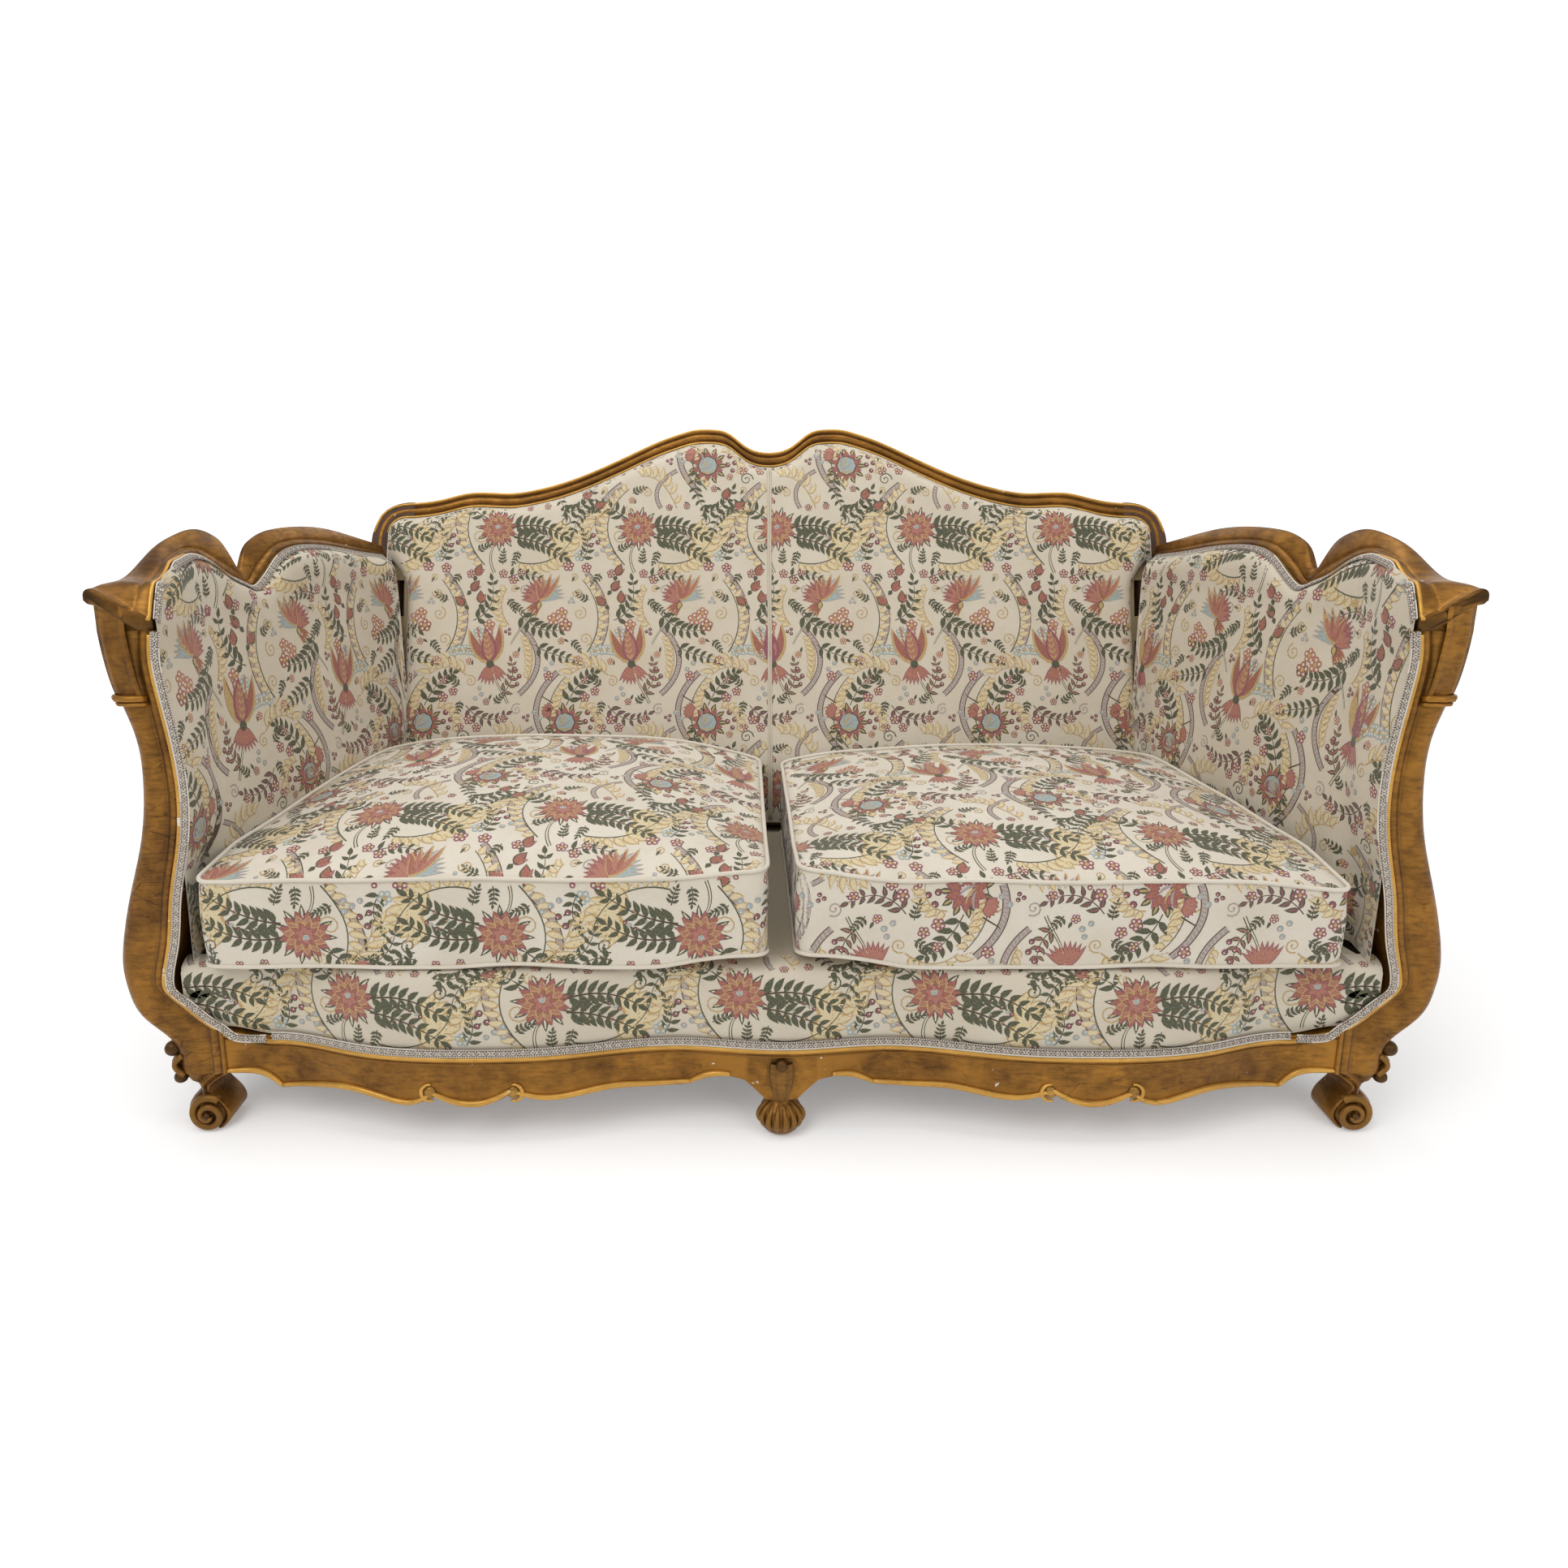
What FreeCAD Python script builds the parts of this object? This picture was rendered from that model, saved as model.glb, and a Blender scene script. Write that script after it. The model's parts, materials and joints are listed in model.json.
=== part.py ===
import FreeCAD, Part
import Sketcher
import math
import os

from types import SimpleNamespace

from FreeCAD import Placement, Rotation, Vector

# Cabriole sofa: carved gilded frame, upholstered back and arms, two loose seat cushions
# X runs along the seat, Y from the front to the back, Z up
# Every piece is drawn with Y = 0 at the front face of the arm posts, then moved as a whole

doc = FreeCAD.newDocument("cabriole_sofa")
sheet = doc.addObject("Spreadsheet::Sheet", "Sizes")

SIZES = [
    ("half_span", 930, "centre to the tip of an arm cap"),
    ("rear_half_span", 803, "centre to the outer edge of an arm where it meets the back"),
    ("arm_reach", 735, "front of the posts to the end of an arm's crest line"),
    ("notch_back", 305, "front of the posts to the notch in an arm"),
    ("arm_height", 808, "floor to the cap at the front of an arm"),
    ("joint_height", 750, "floor to the joint between post and arm rail"),
    ("band_width", 28, "show wood of the arm rail, seen from above"),
    ("post_face", 82, "width of a post's face under the cap"),
    ("post_thick", 62, "post, front to back"),
    ("cap_overhang", 8, "arm cap in front of the post"),
    ("rail_top", 145, "floor to the top of the carved front rail"),
    ("joint_inset", 115, "tip of an arm cap to the joint between post and front rail"),
    ("rail_back", 45, "front of the posts to the back of the carved front rail"),
    ("rail_bow", 34, "how far the front rail bows in front of the posts"),
    ("block_half", 55, "half the width of the centre block"),
    ("ball_radius", 31, "centre foot's ball"),
    ("ball_height", 54, "centre foot's ball"),
    ("seat_rail_thick", 30, "hidden seat rails"),
    ("seat_rail_bottom", 98, "floor to the hidden seat rails"),
    ("seat_rail_top", 215, "floor to the top of the hidden seat rails"),
    ("rear_lip", 45, "lip along the back of the rear seat rail"),
    ("side_inset", 38, "tip of an arm cap to the side seat rail's outer face"),
    ("leg_rake", 38, "how far a rear leg rakes backwards"),
    ("deck_top", 266, "floor to the padded deck"),
    ("recline", 18, "back frame from upright, degrees"),
    ("back_base", 620, "front of the posts to the back frame at hinge height"),
    ("base_height", 400, "height at which back_base is measured"),
    ("back_thick", 38, "back frame, front to back"),
    ("crest_rise", 671, "crest above base_height, measured up the slope"),
    ("shoulder_rise", 516, "corner of the back above base_height, up the slope"),
    ("crest_half", 720, "centre to the joint between top rail and stile"),
    ("back_half", 806, "centre to the outer edge of the back"),
    ("stile_width", 56, "back stile"),
    ("show_width", 34, "show wood of the back rail"),
    ("rebate_width", 30, "tacking rebate around the back frame"),
    ("rebate_depth", 10, "tacking rebate around the back frame"),
    ("back_pad_half", 727, "half the width of the back pad at the seat"),
    ("back_pad_thick", 35, "back pad, rebate to face"),
    ("seam_proud", 2, "seam down the middle of the back pad"),
    ("arm_pad_thick", 34, "arm pad"),
    ("seat_half_front", 851, "centre to the arm pads behind the posts"),
    ("seat_half_rear", 728, "centre to the arm pads at the back"),
    ("pad_fullness", 12, "arm pad proud of the show wood at the front"),
    ("rear_fullness", 20, "more of the same at the back"),
    ("lining", 5, "padding over the inside edge of a post"),
    ("cushion_front", 20, "cushion in front of the posts"),
    ("cushion_border", 136, "cushion border"),
    ("left_crown", 73, "left cushion's crown above its border"),
    ("right_crown", 50, "right cushion's crown above its border"),
    ("cushion_seam", 18, "seam between the cushions, left of the centre"),
    ("left_cushion_half", 827, "centre to the left cushion's outer front corner"),
    ("right_cushion_half", 801, "centre to the right cushion's outer front corner"),
    ("corner_radius", 26, "cushion corners in plan"),
    ("welt_radius", 3.5, "cushion piping"),
    ("gimp_width", 12, "braid"),
    ("gimp_thick", 3, "braid"),
    ("skin", 2, "outside covers"),
    ("web_width", 50, "webbing"),
    ("web_thick", 2, "webbing"),
    ("strap_gap", 3.5, "arm webbing behind its pad"),
    ("spring_radius", 38, "seat springs"),
    ("spring_wire", 4, "seat springs"),
    ("spring_turns", 4, "seat springs"),
    ("spring_pitch_x", 205, "seat springs along the seat"),
    ("spring_pitch_y", 165, "seat springs across the seat"),
    ("spring_first_y", 150, "first row of springs behind the posts' front"),
    ("dowel_radius", 5, "joint dowels"),
    ("dowel_length", 60, "joint dowels"),
    ("screw_radius", 2.5, "corner block screws"),
    ("screw_length", 45, "corner block screws"),
    ("block_leg", 70, "corner blocks"),
    ("block_depth", 45, "corner blocks"),
    ("tack_rail", 20, "tacking rails' thickness"),
    ("tack_rail_depth", 40, "tacking rails' height"),
    ("soft_gap", 0.3, "clearance between soft pieces and their neighbours"),
]

for row, (name, value, meaning) in enumerate(SIZES, start=1):
    sheet.set(f"A{row}", name)
    sheet.set(f"B{row}", str(value))
    sheet.set(f"C{row}", meaning)
    sheet.setAlias(f"B{row}", name)
doc.recompute()


class Size(float):
    """A length that also carries the sheet expression it was worked out by."""

    def __new__(cls, value, text=None):
        size = super().__new__(cls, value)
        size.text = str(float(value)) if text is None else text
        return size

    def join(self, sign, other, value, swapped=False):
        other_text = other.text if isinstance(other, Size) else str(float(other))
        pair = (other_text, self.text) if swapped else (self.text, other_text)
        return Size(value, f"({pair[0]} {sign} {pair[1]})")

    def __add__(self, other):
        return self.join("+", other, float(self) + float(other))

    def __radd__(self, other):
        return self.join("+", other, float(other) + float(self), True)

    def __sub__(self, other):
        return self.join("-", other, float(self) - float(other))

    def __rsub__(self, other):
        return self.join("-", other, float(other) - float(self), True)

    def __mul__(self, other):
        return self.join("*", other, float(self) * float(other))

    def __rmul__(self, other):
        return self.join("*", other, float(other) * float(self), True)

    def __truediv__(self, other):
        return self.join("/", other, float(self) / float(other))

    def __neg__(self):
        return Size(-float(self), f"(0 - {self.text})")


dim = SimpleNamespace(**{name: Size(sheet.get(name), "Sizes." + name) for name, _, _ in SIZES})
pieces = {}
joint_x = dim.half_span - dim.joint_inset


# Curves and solids

def spline(points):
    curve = Part.BSplineCurve()
    curve.interpolate(points)
    return curve.toShape()


class Profile:
    """Reads the second coordinate of a smooth plane curve from its first."""

    def __init__(self, points):
        edge = spline([Vector(a, b, 0) for a, b in points])
        self.samples = sorted((p.x, p.y) for p in edge.discretize(300))

    def at(self, key):
        low = self.samples[0]
        for high in self.samples[1:]:
            if high[0] >= key:
                break
            low = high
        share = (key - low[0]) / max(high[0] - low[0], 1e-9)
        return low[1] + share * (high[1] - low[1])


def outline(runs, place):
    """A closed face: each run is a line if it has two points, else a smooth curve."""
    edges = []
    for run in runs:
        points = [place(a, b) for a, b in run]
        edges.append(Part.makeLine(*points) if len(points) == 2 else spline(points))
    return Part.Face(Part.Wire(edges))


def polygon(points):
    return Part.makePolygon([Vector(*p) for p in points] + [Vector(*points[0])])


def skin_loft(sections):
    """A solid with straight runs between matching corners of its sections."""
    return Part.makeLoft([polygon(section) for section in sections], True, True)


def prism(points, low, high):
    face = Part.Face(polygon([(x, y, low) for x, y in points]))
    return face.extrude(Vector(0, 0, high - low))


def rounded(points, reach):
    """A closed plane wire through the points; tangent arcs start at reach from each corner."""
    corners = []
    for index, here in enumerate(points):
        to_before = (points[index - 1] - here).normalize()
        to_after = (points[(index + 1) % len(points)] - here).normalize()
        half = to_before.getAngle(to_after) / 2
        bisector = (to_before + to_after).normalize()
        middle = here + bisector * (reach * (1 / math.cos(half) - math.tan(half)))
        corners.append((here + to_before * reach, middle, here + to_after * reach))
    edges = []
    for index, (start, middle, end) in enumerate(corners):
        edges.append(Part.Arc(start, middle, end).toShape())
        edges.append(Part.makeLine(end, corners[(index + 1) % len(corners)][0]))
    return Part.Wire(edges)


def mirrored(shape):
    return shape.mirror(Vector(0, 0, 0), Vector(1, 0, 0))


def feature(name, shape):
    piece = doc.addObject("Part::Feature", name)
    piece.Shape = shape
    pieces[name] = piece
    return piece


def feature_pair(stem, right_shape):
    feature(stem + "_right", right_shape)
    feature(stem + "_left", mirrored(right_shape))


# Bodies with sketches

def origin_plane(body, role):
    for plane in body.Origin.OriginFeatures:
        if plane.Role == role:
            return plane


def add_sketch(body, name, role, corners):
    """A closed polygon whose corners are bound to the sheet."""
    sketch = body.newObject("Sketcher::SketchObject", name)
    sketch.AttachmentSupport = [(origin_plane(body, role), "")]
    sketch.MapMode = "FlatFace"
    count = len(corners)
    for index in range(count):
        a, b = corners[index]
        c, d = corners[(index + 1) % count]
        sketch.addGeometry(Part.LineSegment(Vector(a, b, 0), Vector(c, d, 0)), False)
    for index in range(count):
        meeting = Sketcher.Constraint("Coincident", index, 2, (index + 1) % count, 1)
        sketch.addConstraint(meeting)
    for index, (a, b) in enumerate(corners):
        for kind, value in (("DistanceX", a), ("DistanceY", b)):
            made = Sketcher.Constraint(kind, -1, 1, index, 1, float(value))
            number = sketch.addConstraint(made)
            if isinstance(value, Size):
                sketch.setExpression(f"Constraints[{number}]", value.text)
    return sketch


def add_pad(body, name, sketch, length, midplane=False):
    pad = body.newObject("PartDesign::Pad", name)
    pad.Profile = sketch
    pad.Midplane = midplane
    pad.setExpression("Length", length.text)
    return pad


def padded_body(name, role, corners, length, midplane=False):
    body = doc.addObject("PartDesign::Body", name)
    sketch = add_sketch(body, name + "_sketch", role, corners)
    add_pad(body, name + "_pad", sketch, length, midplane)
    pieces[name] = body
    return body


def cut_from(name, blank, tool):
    """The blank with holes for the tool's solids."""
    cut = doc.addObject("Part::Cut", name)
    cut.Base = blank
    cut.Tool = tool
    pieces[name] = cut


# Shared lines of the sofa

def rise(share):
    return dim.rail_top + share * (dim.joint_height - dim.rail_top)


def low(share):
    return dim.rail_top * share


def inset(distance):
    return dim.half_span - distance


FOOT_OUTER = [(inset(68), 0), (inset(49), low(0.08)), (inset(44), low(0.18)),
              (inset(52), low(0.30)), (inset(64), low(0.40))]
LEG_OUTER = [(inset(64), low(0.40)), (inset(49), low(0.54)), (inset(42), low(0.76)),
             (inset(26), low(1.02)), (inset(-2), rise(0.048)), (inset(-22), rise(0.12)),
             (inset(-26), rise(0.175)), (inset(-20), rise(0.258)), (inset(0), rise(0.382)),
             (inset(22), rise(0.501)), (inset(35), rise(0.64)), (inset(30), rise(0.772)),
             (inset(16), rise(0.848)), (inset(9), rise(0.922)), (inset(4), rise(1))]
POST_INNER = [(inset(dim.post_face), rise(1)), (inset(78), rise(0.94)), (inset(81), rise(0.876)),
              (inset(91), rise(0.757)), (inset(96), rise(0.646)), (inset(88), rise(0.504)),
              (inset(69), rise(0.367)), (inset(57), rise(0.246)), (inset(45), rise(0.165)),
              (inset(46), rise(0.135)), (inset(68), rise(0.096)), (inset(101), rise(0.046)),
              (joint_x, rise(0.030))]
FOOT_INNER = [(joint_x, low(0.62)), (inset(98), low(0.54)), (inset(87), low(0.43)),
              (inset(98), low(0.32)), (inset(111), low(0.19)), (inset(108), low(0.07)),
              (inset(98), 0)]

outer_edge = Profile([(z, x) for x, z in LEG_OUTER])
inner_edge = Profile([(z, x) for x, z in reversed(POST_INNER)])

# The front rail's bow in plan: shares of joint_x and of rail_bow
BOW = [(0.0, -0.4), (0.193, 0.0), (0.405, -0.8), (0.537, -1.0), (0.761, -0.45), (0.914, 0.45),
       (1.0, 0.14), (1.045, 0.09), (1.09, 0.10)]
bow_right = [(share * joint_x, depth * dim.rail_bow) for share, depth in BOW]
bow_points = [(-x, y) for x, y in reversed(bow_right[1:])] + bow_right

# The crest of the back: shares of crest_half and of the rise from shoulder to crest
CREST = [(0.0, 0.684), (0.07, 0.781), (0.115, 0.948), (0.163, 1.0), (0.208, 0.994),
         (0.254, 0.935), (0.30, 0.858), (0.392, 0.658), (0.483, 0.458), (0.574, 0.290),
         (0.667, 0.174), (0.72, 0.137), (0.85, 0.135), (0.896, 0.084), (0.96, 0.02), (1.0, 0.003)]
crest_right = [(share * dim.crest_half,
                dim.shoulder_rise + level * (dim.crest_rise - dim.shoulder_rise))
               for share, level in CREST]
crest_points = [(-u, v) for u, v in reversed(crest_right[1:])] + crest_right
crest_curve = Profile(crest_points)
joint_v = crest_right[-1][1]

# Stations along an arm: place, crest above arm_height, inner edge above joint_height
FRONT_HUMP = [(0.0, 0, 14), (0.052, 3, 45), (0.184, 7, 74), (0.292, 23, 81), (0.41, 45, 85),
              (0.541, 59, 87), (0.666, 65, 74), (0.813, 53, 46), (0.918, 24, 32), (1.0, -6, 24)]
REAR_HUMP = [(0.04, 22, 31), (0.088, 40, 45), (0.142, 48, 62), (0.233, 53, 76), (0.384, 53, 77),
             (0.593, 44, 65), (0.779, 27, 50), (1.0, 4, 35), (1.15, -11, 22)]


def arm_stations():
    """Places along the arm with the heights of its crest and of its inner edge."""
    front = [(share * dim.notch_back, crest, edge) for share, crest, edge in FRONT_HUMP]
    rear_length = dim.arm_reach - dim.notch_back
    rear = [(dim.notch_back + share * rear_length, crest, edge) for share, crest, edge in REAR_HUMP]
    return [(float(y), dim.arm_height + crest, dim.joint_height + edge)
            for y, crest, edge in front + rear]


def arm_outer(y):
    return dim.half_span - (dim.half_span - dim.rear_half_span) * y / dim.arm_reach


def arm_inner(y):
    """Inner edge of the arm's show wood: the post's wide face narrows to a band."""
    face_end = 0.54 * dim.notch_back
    start = dim.half_span - dim.post_face
    if y >= face_end:
        return arm_outer(y) - dim.band_width
    return start + (arm_outer(face_end) - dim.band_width - start) * max(y, 0) / face_end


tan_recline = Size(math.tan(math.radians(dim.recline)), "tan(Sizes.recline * 1deg)")
cos_recline = Size(math.cos(math.radians(dim.recline)), "cos(Sizes.recline * 1deg)")


def back_y(z, forward=0.0):
    """Where the back frame's front plane, or one in front of it, stands at a height."""
    return dim.back_base + (z - dim.base_height) * tan_recline - forward / cos_recline


def slope_v(z):
    return (z - dim.base_height) / cos_recline


pad_face = dim.back_pad_thick - dim.rebate_depth
leg_front = back_y(dim.seat_rail_top)
leg_back = leg_front + dim.back_thick / cos_recline
back_place = Placement(Vector(0, dim.back_base, dim.base_height),
                       Rotation(Vector(1, 0, 0), 90 - dim.recline))


def side_x(y):
    """Outer face of the side seat rail."""
    start = inset(dim.side_inset)
    return start - (start - dim.back_half) * y / leg_front


def on_front(a, b):
    return Vector(a, 0, b)


def back_slab(runs, low_w, high_w):
    """A plate in the leaning plane of the back, between two distances from it."""
    face = outline(runs, lambda a, b: Vector(a, b, low_w))
    solid = face.extrude(Vector(0, 0, high_w - low_w))
    solid.Placement = back_place
    return solid


# Carved front posts with their scroll feet

def post_solid():
    runs = [FOOT_OUTER, LEG_OUTER, [LEG_OUTER[-1], POST_INNER[0]], POST_INNER,
            [POST_INNER[-1], FOOT_INNER[0]], FOOT_INNER, [FOOT_INNER[-1], FOOT_OUTER[0]]]
    post = outline(runs, on_front).extrude(Vector(0, dim.post_thick, 0))
    for distance, height, radius in ((33, low(0.87), 13), (40, low(0.56), 11)):
        knob = Part.makeSphere(radius, Vector(inset(distance), radius, height))
        post = post.fuse(knob)
    return post.removeSplitter()


# Carved front rail: shares of joint_x and of rail_top along its lower edge
RAIL_EDGE = [
    [(1.0, 0.62), (0.978, 0.615), (0.945, 0.58), (0.910, 0.414)],
    [(0.910, 0.414), (0.847, 0.46), (0.773, 0.51), (0.706, 0.455), (0.650, 0.434), (0.620, 0.54)],
    [(0.620, 0.54), (0.577, 0.44), (0.528, 0.434), (0.479, 0.565)],
    [(0.479, 0.565), (0.429, 0.476), (0.368, 0.483), (0.307, 0.524), (0.233, 0.51), (0.164, 0.53)],
    [(0.164, 0.53), (0.128, 0.62), (0.092, 0.634)],
]


def bow_region(low_z, high_z, back):
    """Everything between the bowed front of the rail and a straight back."""
    left = bow_points[0]
    right = bow_points[-1]
    runs = [bow_points, [right, (right[0], back)], [(right[0], back), (left[0], back)],
            [(left[0], back), left]]
    face = outline(runs, lambda a, b: Vector(a, b, low_z))
    return face.extrude(Vector(0, 0, high_z - low_z))


def front_rail_solid():
    lower = [[(share * joint_x, low(level)) for share, level in run] for run in RAIL_EDGE]
    end = (dim.block_half, low(0.61))
    lower.append([lower[-1][-1], end])
    flat_end = (joint_x * 0.914, dim.rail_top)
    top = [flat_end, (joint_x * 0.969, low(1.045)), POST_INNER[-1]]
    runs = lower + [[end, (dim.block_half, dim.rail_top)], [(dim.block_half, dim.rail_top), flat_end]]
    runs = runs + [top, [top[-1], lower[0][0]]]
    face = outline(runs, lambda a, b: Vector(a, -2 * dim.rail_bow, b))
    blank = face.extrude(Vector(0, 2 * dim.rail_bow + dim.rail_back, 0))
    return blank.common(bow_region(0, rise(0.1), dim.rail_back))


def centre_foot_solid():
    half = dim.block_half
    side = [(half, low(0.61)), (half * 0.64, low(0.49)), (half * 0.42, low(0.40))]
    left = [(-x, z) for x, z in reversed(side)]
    runs = [side, [side[-1], left[0]], left, [left[-1], (-half, dim.rail_top)],
            [(-half, dim.rail_top), (half, dim.rail_top)], [(half, dim.rail_top), side[0]]]
    block = outline(runs, lambda a, b: Vector(a, -2 * dim.rail_bow, b))
    block = block.extrude(Vector(0, 2 * dim.rail_bow + dim.rail_back, 0))
    block = block.common(bow_region(0, rise(0.1), dim.rail_back))
    radius = dim.ball_radius
    height = dim.ball_height
    ball = [(radius * 0.5, 0), (radius * 0.87, height * 0.15), (radius, height * 0.45),
            (radius * 0.9, height * 0.74), (radius * 0.55, height * 0.96), (radius * 0.55, low(0.44))]
    axis_y = dim.ball_radius / 6
    face = outline([[(0, 0), ball[0]], ball, [ball[-1], (0, low(0.44))], [(0, low(0.44)), (0, 0)]],
                   lambda a, b: Vector(a, axis_y, b))
    turned = face.revolve(Vector(0, axis_y, 0), Vector(0, 0, 1), 360)
    knee = Part.makeSphere(half / 3, Vector(0, -dim.rail_bow * 0.15, low(0.69)))
    return block.fuse(turned).fuse(knee).removeSplitter()


# Arm rails with the caps at their front ends

def arm_section(y, crest, edge):
    outer = arm_outer(y)
    inner = arm_inner(y)
    base = dim.joint_height
    step = 4 if y < 0.9 * dim.post_thick else dim.rebate_depth
    return [(outer - step, y, base), (outer - step, y, crest - 38), (outer, y, crest - 36),
            (outer, y, crest - 10), (outer - 8, y, crest), (inner, y, min(edge, crest)),
            (inner, y, base)]


def behind_back():
    """The space behind the back frame's front plane."""
    reach = 2 * dim.crest_rise
    block = Part.makeBox(4 * dim.half_span, 2 * reach, reach, Vector(-2 * dim.half_span, -reach, -reach))
    block.Placement = back_place
    return block


def arm_rail_solid():
    stations = arm_stations()
    front = (-dim.cap_overhang, stations[0][1], stations[0][2])
    sections = [arm_section(*station) for station in [front] + stations]
    return skin_loft(sections).cut(behind_back())


# Back frame

def shifted(points, drop):
    return [(u, v - drop) for u, v in points]


def top_rail_solid():
    top = crest_points
    show = shifted(top, dim.show_width)
    tack = shifted(show, dim.rebate_width)
    thick = back_slab([top, [top[-1], show[-1]], show[::-1], [show[0], top[0]]], -dim.back_thick, 0)
    thin = back_slab([show, [show[-1], tack[-1]], tack[::-1], [tack[0], show[0]]],
                     -dim.back_thick, -dim.rebate_depth)
    return thick.fuse(thin)


def stile_solid():
    half = dim.back_half
    joint = dim.crest_half
    foot_v = slope_v(dim.seat_rail_top)
    edge = half - dim.show_width
    inner = half - dim.stile_width
    width = half - joint
    shoulder = [(joint, joint_v), (joint + 0.28 * width, joint_v - 1.5), (joint + 0.64 * width, joint_v - 14),
                (joint + 0.89 * width, joint_v - 42), (half, joint_v - 82)]
    show_v = joint_v - dim.show_width
    corner = [(edge, show_v - 46), (edge - 4, show_v - 17), (edge - 22, show_v - 3), (joint, show_v)]
    thick = back_slab([shoulder, [shoulder[-1], (half, foot_v)], [(half, foot_v), (edge, foot_v)],
                       [(edge, foot_v), corner[0]], corner, [corner[-1], shoulder[0]]],
                      -dim.back_thick, 0)
    tack_v = show_v - dim.rebate_width
    thin = back_slab([corner[::-1], [corner[0], (edge, foot_v)], [(edge, foot_v), (inner, foot_v)],
                      [(inner, foot_v), (inner, tack_v)], [(inner, tack_v), (joint, tack_v)],
                      [(joint, tack_v), corner[-1]]], -dim.back_thick, -dim.rebate_depth)
    leg = Part.Face(polygon([(inner, leg_front, dim.seat_rail_top), (inner, leg_front, dim.seat_rail_bottom),
                             (inner, leg_front + dim.leg_rake, 0), (inner, leg_back + dim.leg_rake, 0),
                             (inner, leg_back, dim.seat_rail_bottom), (inner, leg_back, dim.seat_rail_top)]))
    return thick.fuse(thin).fuse(leg.extrude(Vector(dim.stile_width, 0, 0)))


# Upholstery

def pad_line(y, z):
    """Inner face of the arm pad well behind the post."""
    seat = dim.seat_half_front - (dim.seat_half_front - dim.seat_half_rear) * y / dim.back_base
    top = arm_inner(y) - dim.pad_fullness - dim.rear_fullness * y / dim.arm_reach
    share = min(max((z - 450) / (dim.joint_height - 460), 0), 1)
    return seat + (top - seat) * share


def pad_outer(y, z):
    """Outer face of the arm pad, clear of the straps and the outside cover."""
    room = cover_x(y, z) - dim.skin - dim.web_thick - 2 * dim.strap_gap
    return min(pad_line(y, z) + dim.arm_pad_thick, room)


def pad_inner(y, z):
    """The pad hugs the post's inside edge, then swings to its own line."""
    line = pad_line(y, z)
    beside = min(inner_edge.at(z) - dim.lining, line + dim.arm_pad_thick - 12)
    share = min(max((y - dim.post_thick) / 50, 0), 1)
    return beside + (line - beside) * share


PAD_LEVELS = (0.0, 0.17, 0.38, 0.6, 0.8, 1.0)


def pad_levels():
    low_z = dim.deck_top + dim.soft_gap
    high_z = dim.joint_height - dim.soft_gap
    return [low_z + share * (high_z - low_z) for share in PAD_LEVELS]


def arm_pad_section(y, edge):
    levels = pad_levels()
    inside = [(pad_inner(y, z), y, z) for z in levels]
    outside = [(pad_outer(y, z), y, z) for z in reversed(levels)]
    side = arm_inner(y) - dim.soft_gap
    brim = edge - 1.2 * dim.gimp_thick
    return inside + [(side - 5, y, brim), (side, y, brim), (side, y, levels[-1])] + outside


def lining_section(y, top):
    levels = pad_levels()
    inside = [(inner_edge.at(z) - dim.lining, y, z) for z in levels]
    outside = [(inner_edge.at(z) - dim.soft_gap, y, z) for z in reversed(levels)]
    side = arm_inner(0) - dim.soft_gap
    return inside + [(side - 5, y, top), (side, y, top)] + outside


def arm_pad_solid():
    start = dim.post_thick + dim.soft_gap
    stations = [station for station in arm_stations() if station[0] > start + 20]
    heights = Profile([(y, edge) for y, _, edge in arm_stations()[:6]])
    sections = [arm_pad_section(start, heights.at(start))]
    sections += [arm_pad_section(y, edge) for y, _, edge in stations]
    strip = skin_loft([lining_section(y, dim.joint_height + 10) for y in (dim.soft_gap, start)])
    pad = skin_loft(sections).fuse(strip)
    room = back_slab(back_field(0), -dim.rebate_depth, 4 * dim.back_pad_thick)
    return pad.cut(behind_back()).cut(room).cut(post)


def back_field(inset_by):
    """Outline of the upholstered field of the back, drawn in by a margin."""
    show = shifted(crest_points, dim.show_width + inset_by)
    edge = dim.back_half - dim.show_width - inset_by
    corner_v = show[-1][1]
    low_v = slope_v(dim.deck_top) + dim.rebate_depth
    joint = dim.crest_half
    corner = [(joint, corner_v), (edge - 22, corner_v - 3), (edge - 4, corner_v - 17), (edge, corner_v - 46)]
    knee = (dim.back_pad_half + 15 - inset_by, corner_v - 85)
    low_end = (dim.back_pad_half - inset_by, low_v)
    right = [corner, [corner[-1], knee], [knee, low_end]]
    left = [[(-u, v) for u, v in reversed(run)] for run in reversed(right)]
    return [show] + right + [[low_end, (-low_end[0], low_v)]] + left


def back_pad_solid():
    wires = []
    for margin, height in ((dim.soft_gap, -dim.rebate_depth + 3 * dim.web_thick), (dim.soft_gap, 10),
                           (22, pad_face)):
        face = outline(back_field(margin), lambda a, b: Vector(a, b, height))
        wires.append(face.OuterWire)
    pad = Part.makeLoft(wires, True, True)
    pad.Placement = back_place
    return pad


def cover_x(y, z):
    """Outer face of the outside arm cover, bellied at the front like the post."""
    foot = dim.rail_top + 5
    base = side_x(y) + dim.soft_gap + dim.skin
    top = arm_outer(y) - dim.rebate_depth + dim.soft_gap + dim.skin
    share = (z - foot) / (dim.joint_height - foot)
    front_straight = side_x(0) + (inset(10) - side_x(0)) * share
    belly = outer_edge.at(z) - dim.rebate_depth - front_straight
    fade = 1 - y / dim.arm_reach
    return base + (top - base) * share + belly * fade * min(1, 8 * share) * min(1, 8 * (1 - share))


COVER_LEVELS = (0.0, 0.045, 0.09, 0.16, 0.25, 0.35, 0.5, 0.66, 0.82, 0.92, 1.0)


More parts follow.
